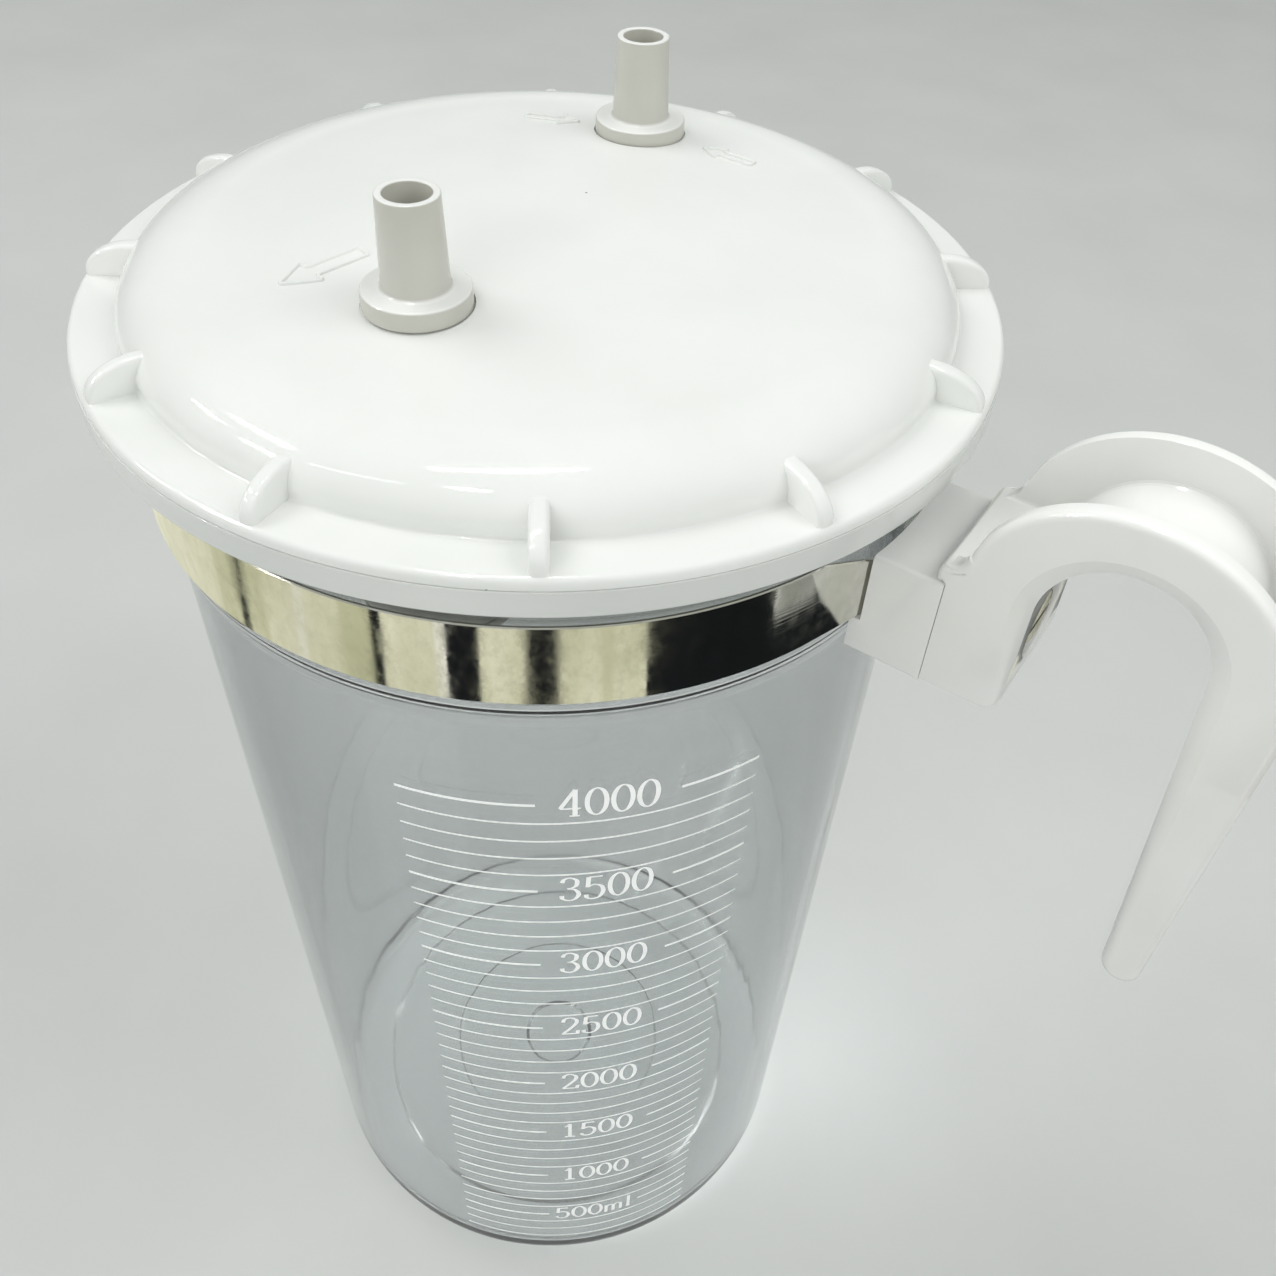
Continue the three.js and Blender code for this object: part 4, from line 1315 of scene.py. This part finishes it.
def make_world():
    """A pale room: light grows towards the ceiling, and mirror rays see lighter and darker walls."""
    g = Graph("pale_room", bpy.data.worlds, "ShaderNodeOutputWorld")
    direction = g.add("ShaderNodeTexCoord").outputs["Generated"]
    height = g.upward(direction)
    stops = [(start, (tone / BRIGHTEST,) * 3) for start, tone in WALL_TONES]
    walls = g.maths("MULTIPLY", tone_ramp(g, direction, stops, "EASE"), BRIGHTEST)
    walls = g.maths("SUBTRACT", walls, 1)
    path = g.add("ShaderNodeLightPath").outputs
    shown = g.maths("MULTIPLY", g.remap(height, 0, WALL_TOP, 1, 0), mirror_rays(g, path, WORLD_DEPTH))
    walls = g.maths("ADD", 1, g.maths("MULTIPLY", walls, shown))
    light = g.maths("MULTIPLY", g.remap(height, -0.1, 1, HORIZON_LIGHT, ZENITH_LIGHT), walls)
    light = g.remap(path["Is Camera Ray"], 0, 1, light, BACKDROP_LIGHT)
    background = g.add("ShaderNodeBackground", Color=(0.97, 1.0, 0.985, 1), Strength=light)
    bpy.context.scene.world = g.done(background)


def make_lights():
    for lamp in (area_light("key", (-1.0, -0.2, 1.6), (0.9, 0.9), 9.5),
                 area_light("front", (0.3, -1.7, 0.9), (1.2, 1.2), 10),
                 area_light("fill", (1.1, 0.5, 1.5), (1.2, 1.2), 11)):
        lamp.visible_glossy = False
    strip_light("ceiling_strip", (-0.30, -0.28, 1.66), (0.02, 0.11, 1.70), 0.03, 6)
    strip_light("ceiling_panel", (0.02, -0.70, 1.55), (0.15, -0.65, 1.57), 0.04, 2)
    strip_light("window_top", (-1.00, -0.45, 1.22), (-0.74, -0.67, 1.33), 0.045, 5)
    strip_light("window_foot", (-0.92, -0.86, 1.01), (-0.74, -1.01, 1.04), 0.035, 3)
    strip_light("window_side", (-1.17, -0.50, 0.97), (-1.06, -0.65, 1.03), 0.04, 2)
    strip_light("far_strip", (-0.59, -0.92, 1.25), (-0.16, -0.84, 1.46), 0.025, 0.4)


CAMERA_PLACE = (133.30, -170.61, 414.63)
CAMERA_AZIMUTH = 122.36  # degrees of the direction it looks in
CAMERA_DOWN = 44.50
CAMERA_ROLL = 3.07
CAMERA_LENS = 34.32
SENSOR = 36


def make_camera():
    data = bpy.data.cameras.new("camera")
    data.sensor_fit = "HORIZONTAL"
    data.sensor_width = SENSOR
    data.lens = CAMERA_LENS
    data.clip_start = 0.01
    camera = linked("camera", data)
    aim = (Matrix.Rotation(radians(CAMERA_AZIMUTH - 90), 4, "Z")
           @ Matrix.Rotation(radians(90 - CAMERA_DOWN), 4, "X")
           @ Matrix.Rotation(radians(CAMERA_ROLL), 4, "Z"))
    camera.matrix_world = Matrix.Translation(Vector(CAMERA_PLACE) * MM) @ aim
    bpy.context.scene.camera = camera


make_floor()
make_world()
make_lights()
make_camera()
bpy.context.scene.view_settings.view_transform = "Standard"
bpy.context.scene.cycles.max_bounces = 20
bpy.context.scene.cycles.glossy_bounces = 14
bpy.context.scene.cycles.transmission_bounces = 16
